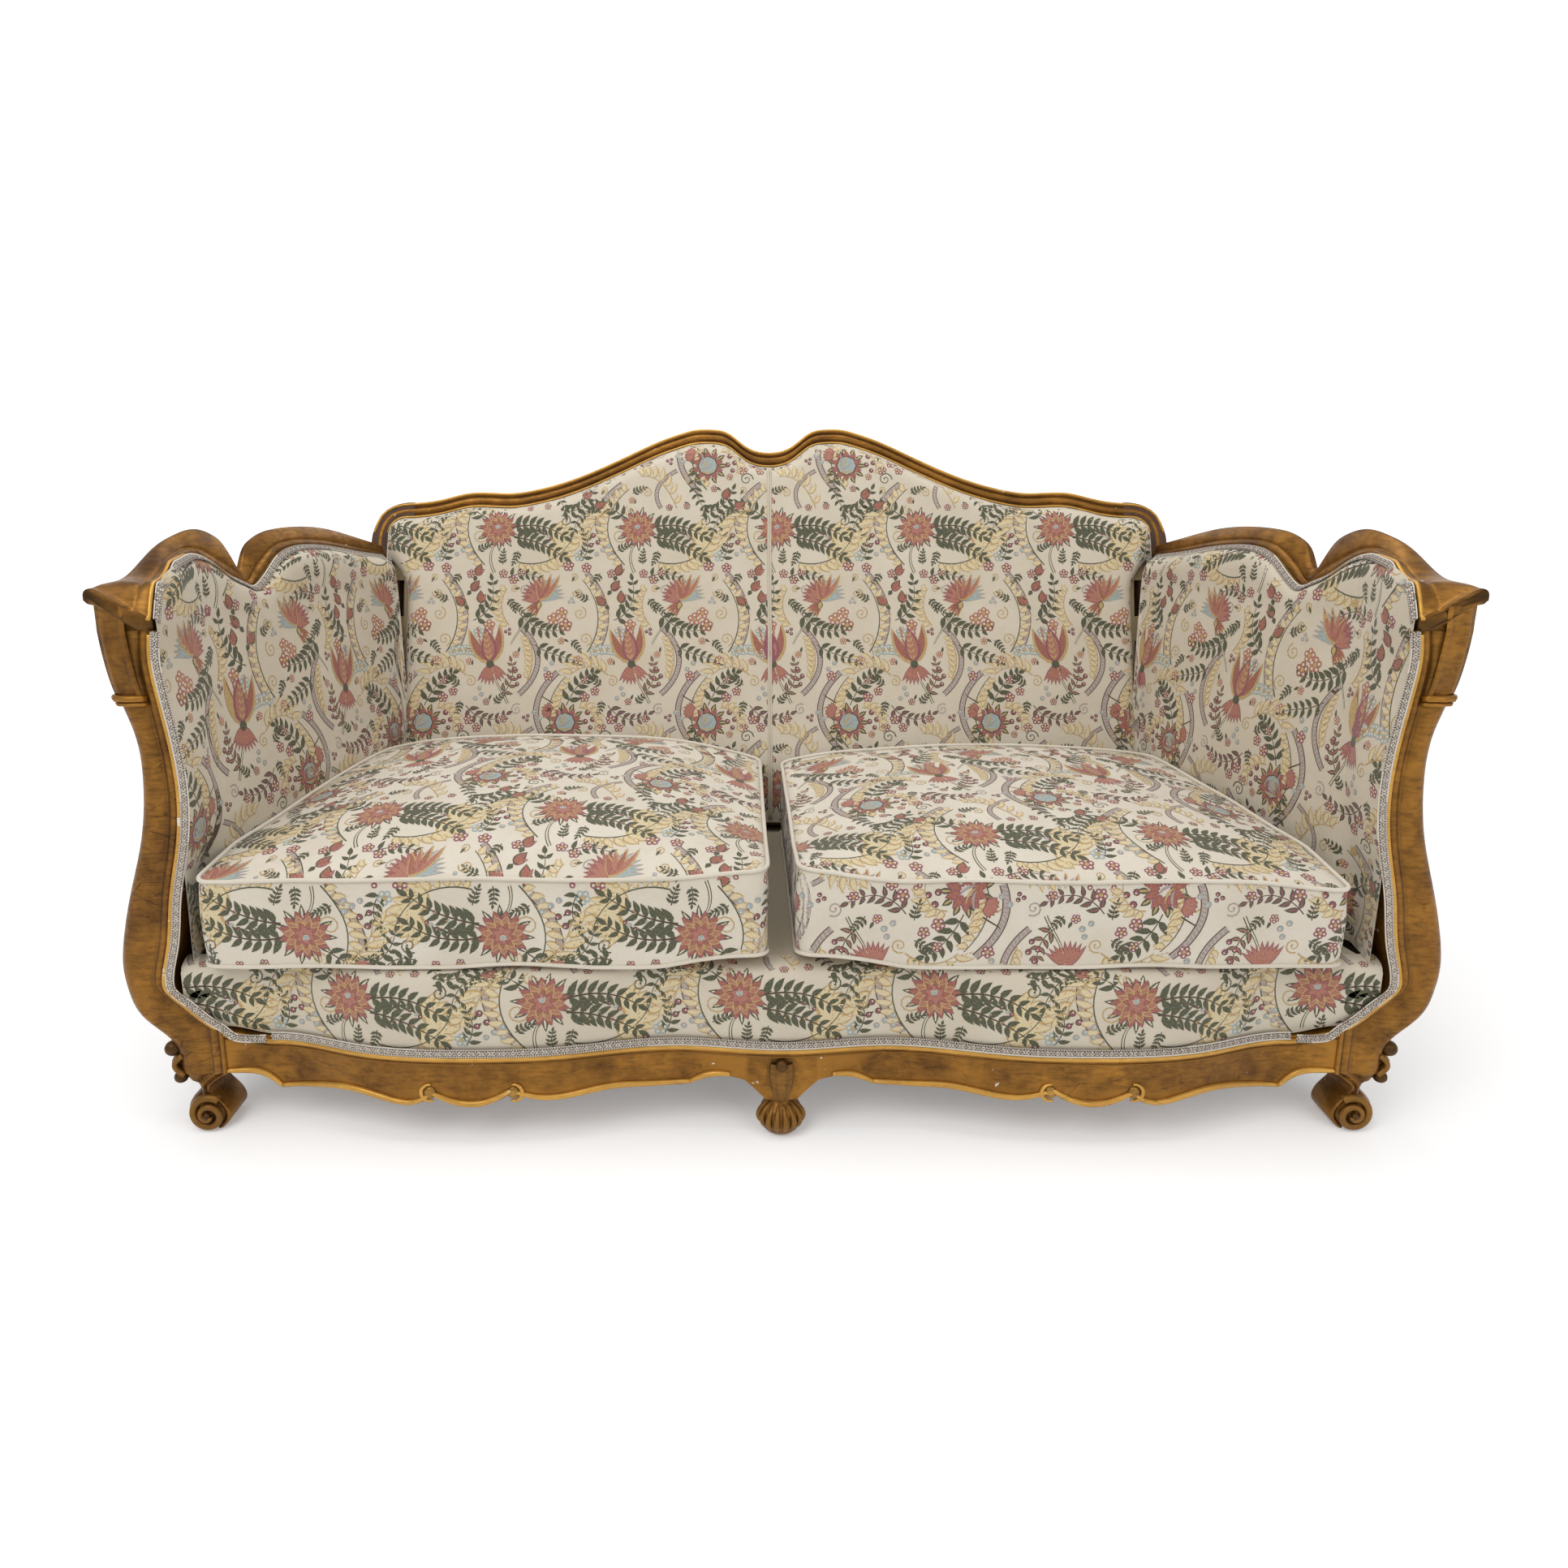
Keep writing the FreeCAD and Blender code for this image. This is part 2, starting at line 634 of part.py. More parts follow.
def cover_section(y, crest):
    foot = dim.rail_top + 5
    levels = [foot + share * (dim.joint_height - foot) for share in COVER_LEVELS]
    outside = [(cover_x(y, z), y, z) for z in levels]
    outside.append((outside[-1][0], y, crest - 38.5))
    inside = [(x - dim.skin, y, z) for x, y, z in reversed(outside)]
    return outside + inside


def arm_cover_solid():
    start = dim.post_thick + dim.soft_gap
    stations = [(start, dim.arm_height + 8)]
    stations += [(y, crest) for y, crest, _ in arm_stations() if y > start + 20]
    return skin_loft([cover_section(*station) for station in stations]).cut(behind_back())


def deck_plan(margin):
    """Half plan of the seat inside its rails, mirrored into a closed polygon."""
    behind_post = dim.post_thick + dim.soft_gap
    inner = dim.back_half - dim.stile_width - margin
    right = [(inset(72), dim.rail_back + dim.soft_gap), (inset(72), behind_post),
             (side_x(behind_post) - margin, behind_post),
             (side_x(leg_front) - margin, leg_front - margin), (inner, leg_front - margin),
             (inner, leg_front + dim.back_thick * 0.55)]
    return right + [(-x, y) for x, y in reversed(right)]


def gimp_along(points, thick_from, thick_to, drop_to):
    """A flat braid between a curve of the back and the same curve lowered."""
    low_points = shifted(points, drop_to)
    runs = [points, [points[-1], low_points[-1]], low_points[::-1], [low_points[0], points[0]]]
    return back_slab(runs, thick_from, thick_to)


def gimp_front_solid():
    low_z = dim.rail_top - dim.gimp_width / 2
    outer = bow_region(low_z, low_z + dim.gimp_width, dim.rail_back)
    trimmed = Part.makeBox(2 * joint_x * 0.92, 4 * dim.rail_bow, dim.rail_top,
                           Vector(-joint_x * 0.92, -3 * dim.rail_bow, dim.rail_top / 2))
    moved = outer.copy()
    moved.translate(Vector(0, -dim.gimp_thick, 0))
    return moved.cut(outer).common(trimmed)


def gimp_post_solid():
    half = dim.gimp_width / 2
    inner = [(x - half, z) for x, z in POST_INNER]
    outer = [(x + half, z) for x, z in reversed(POST_INNER)]
    runs = [inner, [inner[-1], outer[0]], outer, [outer[-1], inner[0]]]
    face = outline(runs, lambda a, b: Vector(a, -dim.gimp_thick, b))
    return face.extrude(Vector(0, dim.gimp_thick, 0))


def gimp_arm_solid():
    sections = []
    for y, _, edge in arm_stations():
        side = arm_inner(y) - dim.soft_gap
        sections.append([(side - 9, y, edge - 3 + dim.soft_gap), (side, y, edge - 3 + dim.soft_gap),
                         (side, y, edge + dim.soft_gap), (side - 9, y, edge + dim.soft_gap)])
    return skin_loft(sections).cut(behind_back())


# Webbing and springs

def strip_along_x(y, low_z):
    half = dim.web_width / 2
    return prism([(-side_x(y) + dim.skin, y - half), (side_x(y) - dim.skin, y - half),
                  (side_x(y) - dim.skin, y + half), (-side_x(y) + dim.skin, y + half)],
                 low_z, low_z + dim.web_thick)


def strip_along_y(x, low_z):
    half = dim.web_width / 2
    front = dim.rail_back + dim.skin
    back = leg_back - dim.skin
    return prism([(x - half, front), (x + half, front), (x + half, back), (x - half, back)],
                 low_z, low_z + dim.web_thick)


def spring_columns():
    count = int((side_x(dim.spring_first_y + 2 * dim.spring_pitch_y) - dim.seat_rail_thick
                 - dim.spring_radius) / dim.spring_pitch_x + 0.5)
    half = [(index + 0.5) * dim.spring_pitch_x for index in range(count)]
    return [-x for x in reversed(half)] + half


def spring_rows():
    return [dim.spring_first_y + index * dim.spring_pitch_y for index in range(3)]


def spring_solid():
    """A coil of six-sided wire."""
    wire_radius = dim.spring_wire / 2
    height = dim.seat_rail_top - dim.seat_rail_bottom - dim.spring_wire
    radius = dim.spring_radius - wire_radius
    helix = Part.makeHelix(height / dim.spring_turns, height, radius)
    corners = []
    for index in range(7):
        angle = math.radians(60 * index)
        corners.append(Vector(radius + wire_radius * math.cos(angle), 0, wire_radius * math.sin(angle)))
    coil = Part.Wire(helix).makePipeShell([Part.makePolygon(corners)], True, True)
    coil.translate(Vector(0, 0, dim.seat_rail_bottom + wire_radius))
    return coil


def arm_strap(y):
    """One webbing strap from the tacking rail up to the arm rail."""
    half = dim.web_width / 2
    sections = []
    low_z = dim.deck_top + 1.2 * dim.tack_rail_depth
    for share in PAD_LEVELS:
        z = low_z + share * (dim.joint_height - low_z)
        corners = []
        for place, out in ((y - half, 0), (y + half, 0),
                           (y + half, dim.web_thick), (y - half, dim.web_thick)):
            corners.append((pad_outer(place, z) + dim.strap_gap + out, place, z))
        sections.append(corners)
    return skin_loft(sections)


def back_strap_upright(u):
    half = dim.web_width / 2
    top = min(crest_curve.at(u - half), crest_curve.at(u + half)) - dim.show_width - dim.skin
    low_v = slope_v(dim.deck_top) + dim.rebate_depth
    corners = [(u - half, low_v), (u + half, low_v), (u + half, top), (u - half, top)]
    runs = [[corners[index], corners[(index + 1) % 4]] for index in range(4)]
    return back_slab(runs, -dim.rebate_depth, -dim.rebate_depth + dim.web_thick)


def back_strap_level(v):
    half = dim.web_width / 2
    reach = dim.back_half - dim.stile_width + dim.rebate_width / 2
    corners = [(-reach, v - half), (reach, v - half), (reach, v + half), (-reach, v + half)]
    runs = [[corners[index], corners[(index + 1) % 4]] for index in range(4)]
    return back_slab(runs, -dim.rebate_depth + dim.web_thick, -dim.rebate_depth + 2 * dim.web_thick)


# Cushions

def cushion_corners(outer, inner, sign, margin, rear):
    """Plan of a cushion: its outer side follows the arm pad."""
    slack = 2 * dim.soft_gap + margin
    turn_y = dim.post_thick + 50
    turn_x = min(outer, pad_line(turn_y, 0) - slack + margin) - margin
    rear_x = min(pad_line(rear, 0) - slack, turn_x)
    front = -dim.cushion_front + margin
    points = [(inner + margin * sign, front), (sign * (outer - margin), front), (sign * turn_x, turn_y),
              (sign * rear_x, rear - margin), (inner + margin * sign, rear - margin)]
    return points


def cushion_rear(z):
    """Where the back pad's face stands at a height, less a small clearance."""
    return back_y(z, pad_face + dim.seam_proud + 2 * dim.soft_gap)


def welt_ring(outer, inner, sign, z):
    margin = dim.welt_radius
    corners = [Vector(x, y, z) for x, y in
               cushion_corners(outer, inner, sign, margin, cushion_rear(z - dim.welt_radius))]
    path = rounded(corners, dim.corner_radius)
    start = path.Edges[0].firstVertex().Point
    heading = path.Edges[0].tangentAt(path.Edges[0].FirstParameter)
    circle = Part.Wire(Part.makeCircle(dim.welt_radius, start, heading))
    return path.makePipeShell([circle], True, False)


# The swell of a cushion's top: shares of its length or width, and of its crown
CROWN_ALONG = [(0.0, 0.0), (0.12, 0.5), (0.35, 0.90), (0.62, 1.0), (0.86, 0.97), (1.0, 0.8)]
CROWN_ACROSS = [(0.0, 0.12), (0.14, 0.62), (0.36, 0.96), (0.64, 0.96), (0.86, 0.62), (1.0, 0.12)]


def crowned_face(swell, start, end, base, crown, place):
    """A cushion's section, flat below and swelling above its border."""
    brow = base + dim.cushion_border
    top = [(start + share * (end - start), brow + level * crown) for share, level in swell]
    runs = [[(start, base), top[0]], top, [top[-1], (end, base)], [(end, base), (start, base)]]
    return outline(runs, place)


def cushion_pieces(side, outer, inner, sign, crown):
    base = dim.deck_top + dim.soft_gap
    margin = 2 * dim.welt_radius + dim.soft_gap
    brow = base + dim.cushion_border
    wires = []
    for z in (base, brow + crown):
        rear = cushion_rear(z) - 2 * dim.welt_radius * tan_recline
        corners = cushion_corners(outer, inner, sign, margin, rear)
        wires.append(rounded([Vector(x, y, z) for x, y in corners], dim.corner_radius))
    filled = Part.makeLoft(wires, True, True)
    front = -dim.cushion_front
    rear_top = cushion_rear(brow + crown)
    ends = sorted((inner, sign * outer))
    along = crowned_face(CROWN_ALONG, front, rear_top, base, crown,
                         lambda a, b: Vector(-dim.half_span, a, b))
    across = crowned_face(CROWN_ACROSS, ends[0], ends[1], base, crown,
                          lambda a, b: Vector(a, -dim.half_span, b))
    filled = filled.common(along.extrude(Vector(2 * dim.half_span, 0, 0)))
    feature("cushion_" + side, filled.common(across.extrude(Vector(0, 3 * dim.half_span, 0))))
    rings = [welt_ring(outer, inner, sign, z) for z in (base + dim.welt_radius, brow - dim.welt_radius)]
    feature("cushion_" + side + "_piping", Part.makeCompound(rings))


# Joint dowels and corner block screws

def dowel(x, y, z):
    return Part.makeCylinder(dim.dowel_radius, dim.dowel_length,
                             Vector(x - dim.dowel_length / 2, y, z), Vector(1, 0, 0))


def dowel_set():
    dowels = []
    for side in (-1, 1):
        for share in (0.73, 0.93):
            dowels.append(dowel(side * joint_x, dim.rail_back * 0.62, low(share)))
            dowels.append(dowel(side * dim.block_half, dim.rail_back * 0.62, low(share)))
        for drop, depth in ((0.45 * dim.show_width, 0.45), (dim.show_width + 0.5 * dim.rebate_width, 0.62)):
            place = back_place.multVec(Vector(side * dim.crest_half, joint_v - drop, -depth * dim.back_thick))
            dowels.append(dowel(*place))
    return dowels


front_rail_back = dim.rail_back + dim.seat_rail_thick
block_low = dim.seat_rail_bottom + (dim.seat_rail_top - dim.seat_rail_bottom - dim.block_depth) / 2


def side_inner(y):
    return side_x(y) - dim.seat_rail_thick


def corner_block_solids():
    """Four glued and screwed blocks, one in each corner of the seat frame."""
    leg = dim.block_leg
    top = block_low + dim.block_depth
    front = [(side_inner(front_rail_back), front_rail_back),
             (side_inner(front_rail_back + leg), front_rail_back + leg),
             (side_inner(front_rail_back) - leg, front_rail_back)]
    rear = [(side_inner(leg_front), leg_front), (side_inner(leg_front - leg), leg_front - leg),
            (side_inner(leg_front) - leg - dim.stile_width / 2, leg_front)]
    blocks = []
    for corners in (front, rear):
        block = prism(corners, block_low, top)
        blocks += [block, mirrored(block)]
    return blocks


def screw_solids():
    """Two screws through each front corner block, one into each rail."""
    third = dim.block_depth / 3
    into_front = Part.makeCylinder(dim.screw_radius, dim.screw_length,
                                   Vector(side_inner(front_rail_back) - 0.6 * dim.block_leg,
                                          front_rail_back - dim.seat_rail_thick * 0.7, block_low + third),
                                   Vector(0, 1, 0))
    y = front_rail_back + 0.35 * dim.block_leg
    into_side = Part.makeCylinder(dim.screw_radius, dim.screw_length,
                                  Vector(side_inner(y) + dim.seat_rail_thick * 0.7, y, block_low + 2 * third),
                                  Vector(-1, 0, 0))
    return [into_front, into_side, mirrored(into_front), mirrored(into_side)]


def cut_all(shape, tools):
    return shape.cut(Part.makeCompound(tools))


# Seat rails and braces, drawn as sketches

def seat_rail_bodies():
    height = dim.seat_rail_top - dim.seat_rail_bottom
    front_corners = [(-joint_x, dim.rail_back), (joint_x, dim.rail_back), (joint_x, front_rail_back),
                     (-joint_x, front_rail_back)]
    padded_body("front_seat_rail_blank", "XY_Plane", front_corners, height)
    for side, sign in (("right", 1), ("left", -1)):
        outer_front = inset(dim.side_inset) - side_slope * dim.post_thick
        inner_front = outer_front - dim.seat_rail_thick
        inner_rear = dim.back_half - dim.seat_rail_thick
        corners = [(inner_front, dim.post_thick), (outer_front, dim.post_thick),
                   (dim.back_half, leg_front), (inner_rear, leg_front)]
        if sign < 0:
            corners = [(-x, y) for x, y in corners]
        padded_body("side_seat_rail_" + side + "_blank", "XY_Plane", corners, height)
    lip_back = dim.seat_rail_top + dim.rear_lip
    lip_front = dim.back_thick * 0.42 / cos_recline
    rear_corners = [(leg_front, dim.seat_rail_bottom), (leg_back, dim.seat_rail_bottom),
                    (leg_back, dim.seat_rail_top), (leg_back + dim.rear_lip * tan_recline, lip_back),
                    (leg_back + dim.rear_lip * tan_recline - lip_front, lip_back),
                    (leg_back - lip_front, dim.seat_rail_top), (leg_front, dim.seat_rail_top)]
    padded_body("rear_seat_rail", "YZ_Plane", rear_corners, 2 * (dim.back_half - dim.stile_width), True)
    brace = [(front_rail_back, dim.seat_rail_bottom), (leg_front, dim.seat_rail_bottom),
             (leg_front, block_low + dim.block_depth), (front_rail_back, block_low + dim.block_depth)]
    padded_body("seat_brace", "YZ_Plane", brace, dim.seat_rail_thick, True)
    for name in ("front_seat_rail_blank", "side_seat_rail_right_blank", "side_seat_rail_left_blank"):
        pieces[name].Placement = Placement(Vector(0, 0, dim.seat_rail_bottom), Rotation())


def tack_rail_bodies():
    """Hidden rails that the webbing and hessian of back and arms are tacked to."""
    low_v = slope_v(dim.seat_rail_top + dim.rear_lip) + dim.back_thick * tan_recline
    high_v = low_v + 2 * dim.tack_rail_depth
    half = dim.back_half - dim.stile_width
    thick = dim.back_thick - dim.rebate_depth
    sunk = back_place.multiply(Placement(Vector(0, 0, -dim.back_thick), Rotation()))
    lower = [(-half, low_v), (half, low_v), (half, high_v), (-half, high_v)]
    padded_body("back_lower_rail", "XY_Plane", lower, thick)
    top_v = crest_right[0][1] - dim.show_width - dim.rebate_width
    width = dim.tack_rail
    upright = [(-width, high_v), (width, high_v), (width, top_v), (-width, top_v)]
    padded_body("back_upright", "XY_Plane", upright, thick)
    for name in ("back_lower_rail", "back_upright"):
        pieces[name].Placement = sunk
    start = dim.post_thick
    low_z = dim.deck_top + 0.4 * dim.tack_rail_depth
    for side, sign in (("right", 1), ("left", -1)):
        end = back_y(low_z)
        out = dim.arm_pad_thick + dim.strap_gap + dim.web_thick
        near = seat_line(start) + out
        far = seat_line(end) + out
        corners = [(near, start), (near + dim.tack_rail, start), (far + dim.tack_rail, end), (far, end)]
        if sign < 0:
            corners = [(-x, y) for x, y in corners]
        padded_body("arm_tack_rail_" + side, "XY_Plane", corners, dim.tack_rail_depth)
        pieces["arm_tack_rail_" + side].Placement = Placement(Vector(0, 0, low_z), Rotation())


def seat_line(y):
    return dim.seat_half_front - (dim.seat_half_front - dim.seat_half_rear) * y / dim.back_base


side_slope = (inset(dim.side_inset) - dim.back_half) / leg_front


# The pieces

screws = screw_solids()
dowels = dowel_set()
feature("corner_block_screws", Part.makeCompound(screws))
screw_holes = doc.addObject("Part::Feature", "screw_holes")
screw_holes.Shape = Part.makeCompound(screws)
feature("joint_dowels", Part.makeCompound(dowels))

post = cut_all(post_solid(), dowels)
front_rail = cut_all(front_rail_solid(), dowels)
arm_rail = arm_rail_solid()
stile = cut_all(stile_solid(), dowels)
feature_pair("arm_post", post)
feature_pair("front_rail", front_rail)
feature("centre_foot", cut_all(centre_foot_solid(), dowels))
feature_pair("arm_rail", arm_rail)
feature("back_top_rail", cut_all(top_rail_solid(), dowels))
feature_pair("back_stile", stile)

seat_rail_bodies()
tack_rail_bodies()
doc.recompute()
for stem in ("front_seat_rail", "side_seat_rail_right", "side_seat_rail_left"):
    cut_from(stem, pieces.pop(stem + "_blank"), screw_holes)
feature("corner_blocks", Part.makeCompound([cut_all(block, screws) for block in corner_block_solids()]))

cross_z = dim.seat_rail_bottom - dim.web_thick
feature("seat_webbing_cross", Part.makeCompound([strip_along_y(x, cross_z) for x in spring_columns()]))
feature("seat_webbing_long", Part.makeCompound([strip_along_x(y, cross_z - dim.web_thick)
                                                for y in spring_rows()]))
one_spring = spring_solid()
springs = []
for x in spring_columns():
    for y in spring_rows():
        coil = one_spring.copy()
        coil.translate(Vector(x, y, 0))
        springs.append(coil)
feature("seat_springs", Part.makeCompound(springs))
hessian_top = dim.seat_rail_top + dim.skin / 2
feature("seat_hessian", prism(deck_plan(4), dim.seat_rail_top, hessian_top))
feature("seat_deck_pad", prism(deck_plan(1), hessian_top, dim.deck_top))
dust_low = cross_z - 2 * dim.web_thick + dim.skin / 2
dust_front = side_x(front_rail_back)
dust_rear = side_x(leg_front)
feature("dust_cover", prism([(-dust_front, front_rail_back), (dust_front, front_rail_back),
                             (dust_rear, leg_front), (-dust_rear, leg_front)],
                            dust_low, dust_low + dim.skin / 2))

border = bow_region(dim.rail_top, dim.deck_top, dim.rail_back)
carved_front = Part.makeCompound([post, mirrored(post), front_rail, mirrored(front_rail)])
feature("deck_border", border.cut(carved_front))

feature_pair("arm_pad", arm_pad_solid())
feature_pair("outside_arm_cover", arm_cover_solid())
feature("back_pad", back_pad_solid())
seam_low = slope_v(dim.deck_top) + 40
seam_top = crest_right[0][1] - dim.show_width - 30
seam_corners = [(-3, seam_low), (3, seam_low), (3, seam_top), (-3, seam_top)]
seam_runs = [[seam_corners[index], seam_corners[(index + 1) % 4]] for index in range(4)]
feature("back_seam", back_slab(seam_runs, pad_face, pad_face + dim.seam_proud))

back_us = [side * dim.crest_half * share for side in (-1, 1) for share in (0.16, 0.40, 0.64, 0.88)]
feature("back_webbing_upright", Part.makeCompound([back_strap_upright(u) for u in back_us]))
back_vs = [dim.shoulder_rise * share for share in (-0.02, 0.24, 0.50, 0.74)]
feature("back_webbing_level", Part.makeCompound([back_strap_level(v) for v in back_vs]))
hessian_w = -dim.rebate_depth + 2 * dim.web_thick
feature("back_hessian", back_slab(back_field(3), hessian_w, hessian_w + dim.web_thick))

cover_top = shifted(crest_points, 12)
cover_side = dim.back_half - 8
cover_low = slope_v(dim.seat_rail_top) + (dim.back_thick + dim.skin) * tan_recline
feature("outside_back_cover",
        back_slab([cover_top, [cover_top[-1], (cover_side - 30, joint_v - 22)],
                   [(cover_side - 30, joint_v - 22), (cover_side, joint_v - 80)],
                   [(cover_side, joint_v - 80), (cover_side, cover_low)],
                   [(cover_side, cover_low), (-cover_side, cover_low)],
                   [(-cover_side, cover_low), (-cover_side, joint_v - 80)],
                   [(-cover_side, joint_v - 80), (30 - cover_side, joint_v - 22)],
                   [(30 - cover_side, joint_v - 22), cover_top[0]]],
                  -dim.back_thick - dim.skin, -dim.back_thick))

strap_ys = [dim.post_thick + share * (dim.back_base - dim.post_thick) for share in (0.12, 0.36, 0.60, 0.84)]
feature_pair("arm_webbing", Part.makeCompound([arm_strap(y) for y in strap_ys]))

feature("gimp_back", gimp_along(shifted(crest_points, dim.show_width - dim.gimp_width),
                                0, dim.gimp_thick, dim.gimp_width))
feature("gimp_front", gimp_front_solid())
feature_pair("gimp_post", gimp_post_solid())
feature_pair("gimp_arm", gimp_arm_solid())

seam = -dim.cushion_seam
cushion_pieces("left", dim.left_cushion_half, seam - dim.soft_gap, -1, dim.left_crown)
cushion_pieces("right", dim.right_cushion_half, seam + dim.soft_gap, 1, dim.right_crown)

doc.recompute()

# The whole sofa is moved so that it stands on Z = 0, centred on X = 0 and Y = 0

box = FreeCAD.BoundBox()
for piece in pieces.values():
    box.add(piece.Shape.optimalBoundingBox(True, False))
to_centre = Placement(Vector(-box.Center.x, -box.Center.y, -box.ZMin), Rotation())
for piece in pieces.values():
    piece.Placement = to_centre.multiply(piece.Placement)
doc.recompute()

for item in doc.Objects:
    if "Invalid" in item.State or "Error" in item.State:
        raise RuntimeError(item.Name + " failed")
for name, piece in pieces.items():
    if piece.Shape.isNull() or not piece.Shape.isValid():
        raise RuntimeError(name + " has no valid shape")

os.makedirs("parts", exist_ok=True)
for name, piece in pieces.items():
    piece.Label = name
    piece.Shape.exportStep("parts/" + name + ".step")
print(len(pieces), "pieces, moved back by", -box.Center.y, "in a box of", box)
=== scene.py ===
import bmesh
import bpy
import json
import math
import random
import numpy as np
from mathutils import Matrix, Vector, noise
from mathutils.bvhtree import BVHTree


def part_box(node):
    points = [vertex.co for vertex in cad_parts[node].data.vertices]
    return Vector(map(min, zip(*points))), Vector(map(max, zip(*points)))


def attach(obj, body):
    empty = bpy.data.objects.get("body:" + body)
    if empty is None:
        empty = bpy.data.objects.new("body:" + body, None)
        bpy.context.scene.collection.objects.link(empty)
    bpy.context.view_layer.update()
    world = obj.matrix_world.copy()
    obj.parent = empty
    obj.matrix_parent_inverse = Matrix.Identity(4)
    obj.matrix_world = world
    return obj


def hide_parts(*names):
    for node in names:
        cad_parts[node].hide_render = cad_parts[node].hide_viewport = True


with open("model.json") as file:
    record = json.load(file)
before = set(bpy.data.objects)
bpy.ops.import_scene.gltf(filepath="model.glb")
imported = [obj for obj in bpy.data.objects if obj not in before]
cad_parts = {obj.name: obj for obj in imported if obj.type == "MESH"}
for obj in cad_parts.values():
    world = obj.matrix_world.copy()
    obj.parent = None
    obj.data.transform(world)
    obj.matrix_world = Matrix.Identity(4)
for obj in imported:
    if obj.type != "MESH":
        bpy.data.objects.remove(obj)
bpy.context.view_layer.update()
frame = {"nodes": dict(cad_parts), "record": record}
nodes = frame["nodes"]

# Sizes in millimetres, with Y counted from the front of the posts

SHIFT = 413.267
HALF_SPAN = 930.0
RAIL_TOP = 145.0
JOINT_X = 815.0
JOINT_Z = 750.0
ARM_HEIGHT = 808.0
POST_THICK = 62.0
RAIL_BOW = 34.0
DECK_TOP = 266.0
BACK_THICK = 38.0
SHOW = 34.0
TAN = math.tan(math.radians(18))
COS = math.cos(math.radians(18))
SIN = math.sin(math.radians(18))
BACK_Y = 620.0
BACK_Z = 400.0
ARM_LENGTH = 735.0
HUMP_LENGTH = 305.0
CREST_HALF = 720.0
BRAID_WIDTH = 12.0
WORD = {-1: "left", 1: "right"}


def at(x, y, z):
    return (x / 1000, (y - SHIFT) / 1000, z / 1000)


def rise(share):
    return RAIL_TOP + share * (JOINT_Z - RAIL_TOP)


def low(share):
    return RAIL_TOP * share


def inset(distance):
    return HALF_SPAN - distance


def unit(vector):
    return vector / np.linalg.norm(vector)


def smooth(share):
    share = min(max(share, 0.0), 1.0)
    return share * share * (3 - 2 * share)


class Spline:
    """A natural cubic through points with rising keys."""

    def __init__(self, pairs):
        pairs = sorted(pairs)
        self.keys = np.array([p[0] for p in pairs], float)
        self.values = np.array([p[1] for p in pairs], float)
        n = len(pairs)
        steps = np.diff(self.keys)
        matrix = np.zeros((n, n))
        right = np.zeros(n)
        matrix[0, 0] = matrix[-1, -1] = 1
        for i in range(1, n - 1):
            matrix[i, i - 1] = steps[i - 1]
            matrix[i, i] = 2 * (steps[i - 1] + steps[i])
            matrix[i, i + 1] = steps[i]
            right[i] = 3 * ((self.values[i + 1] - self.values[i]) / steps[i]
                            - (self.values[i] - self.values[i - 1]) / steps[i - 1])
        self.bends = np.linalg.solve(matrix, right)

    def __call__(self, key):
        key = min(max(key, self.keys[0]), self.keys[-1])
        i = min(max(int(np.searchsorted(self.keys, key)) - 1, 0), len(self.keys) - 2)
        step = self.keys[i + 1] - self.keys[i]
        t = key - self.keys[i]
        c0, c1 = self.bends[i], self.bends[i + 1]
        slope = (self.values[i + 1] - self.values[i]) / step - step * (2 * c0 + c1) / 3
        return float(self.values[i] + t * (slope + t * (c0 + t * (c1 - c0) / (3 * step))))


class Path:
    """A smooth path through points in two or three dimensions, by its length."""

    def __init__(self, points):
        points = [np.array(p, float) for p in points]
        places = [0.0]
        for a, b in zip(points, points[1:]):
            places.append(places[-1] + float(np.linalg.norm(b - a)))
        self.length = places[-1]
        self.axes = [Spline(list(zip(places, [p[k] for p in points]))) for k in range(len(points[0]))]

    def __call__(self, share):
        return [axis(share * self.length) for axis in self.axes]

    def points(self, count):
        return [self(i / (count - 1)) for i in range(count)]


# Outlines

LEG_OUTER = [(inset(68), 0), (inset(49), low(0.08)), (inset(44), low(0.18)), (inset(52), low(0.30)),
             (inset(64), low(0.40)), (inset(49), low(0.54)), (inset(42), low(0.76)),
             (inset(26), low(1.02)), (inset(-2), rise(0.048)), (inset(-22), rise(0.12)),
             (inset(-26), rise(0.175)), (inset(-20), rise(0.258)), (inset(0), rise(0.382)),
             (inset(22), rise(0.501)), (inset(35), rise(0.64)), (inset(30), rise(0.772)),
             (inset(16), rise(0.848)), (inset(9), rise(0.922)), (inset(4), rise(1))]
POST_INNER = [(inset(82), rise(1)), (inset(78), rise(0.94)), (inset(81), rise(0.876)),
              (inset(91), rise(0.757)), (inset(96), rise(0.646)), (inset(88), rise(0.504)),
              (inset(69), rise(0.367)), (inset(57), rise(0.246)), (inset(45), rise(0.165)),
              (inset(46), rise(0.135)), (inset(68), rise(0.096)), (inset(101), rise(0.046)),
              (JOINT_X, rise(0.030))]
FOOT_INNER = [(JOINT_X, low(0.62)), (inset(98), low(0.54)), (inset(87), low(0.43)),
              (inset(98), low(0.32)), (inset(111), low(0.19)), (inset(108), low(0.07)), (inset(98), 0)]
leg_outer = Spline([(z, x) for x, z in LEG_OUTER])
post_inner = Spline([(z, x) for x, z in POST_INNER])
foot_inner = Spline([(z, x) for x, z in FOOT_INNER])
BOW = [(0.0, -0.4), (0.193, 0.0), (0.405, -0.8), (0.537, -1.0), (0.761, -0.45), (0.914, 0.45),
       (1.0, 0.14), (1.045, 0.09), (1.09, 0.10)]
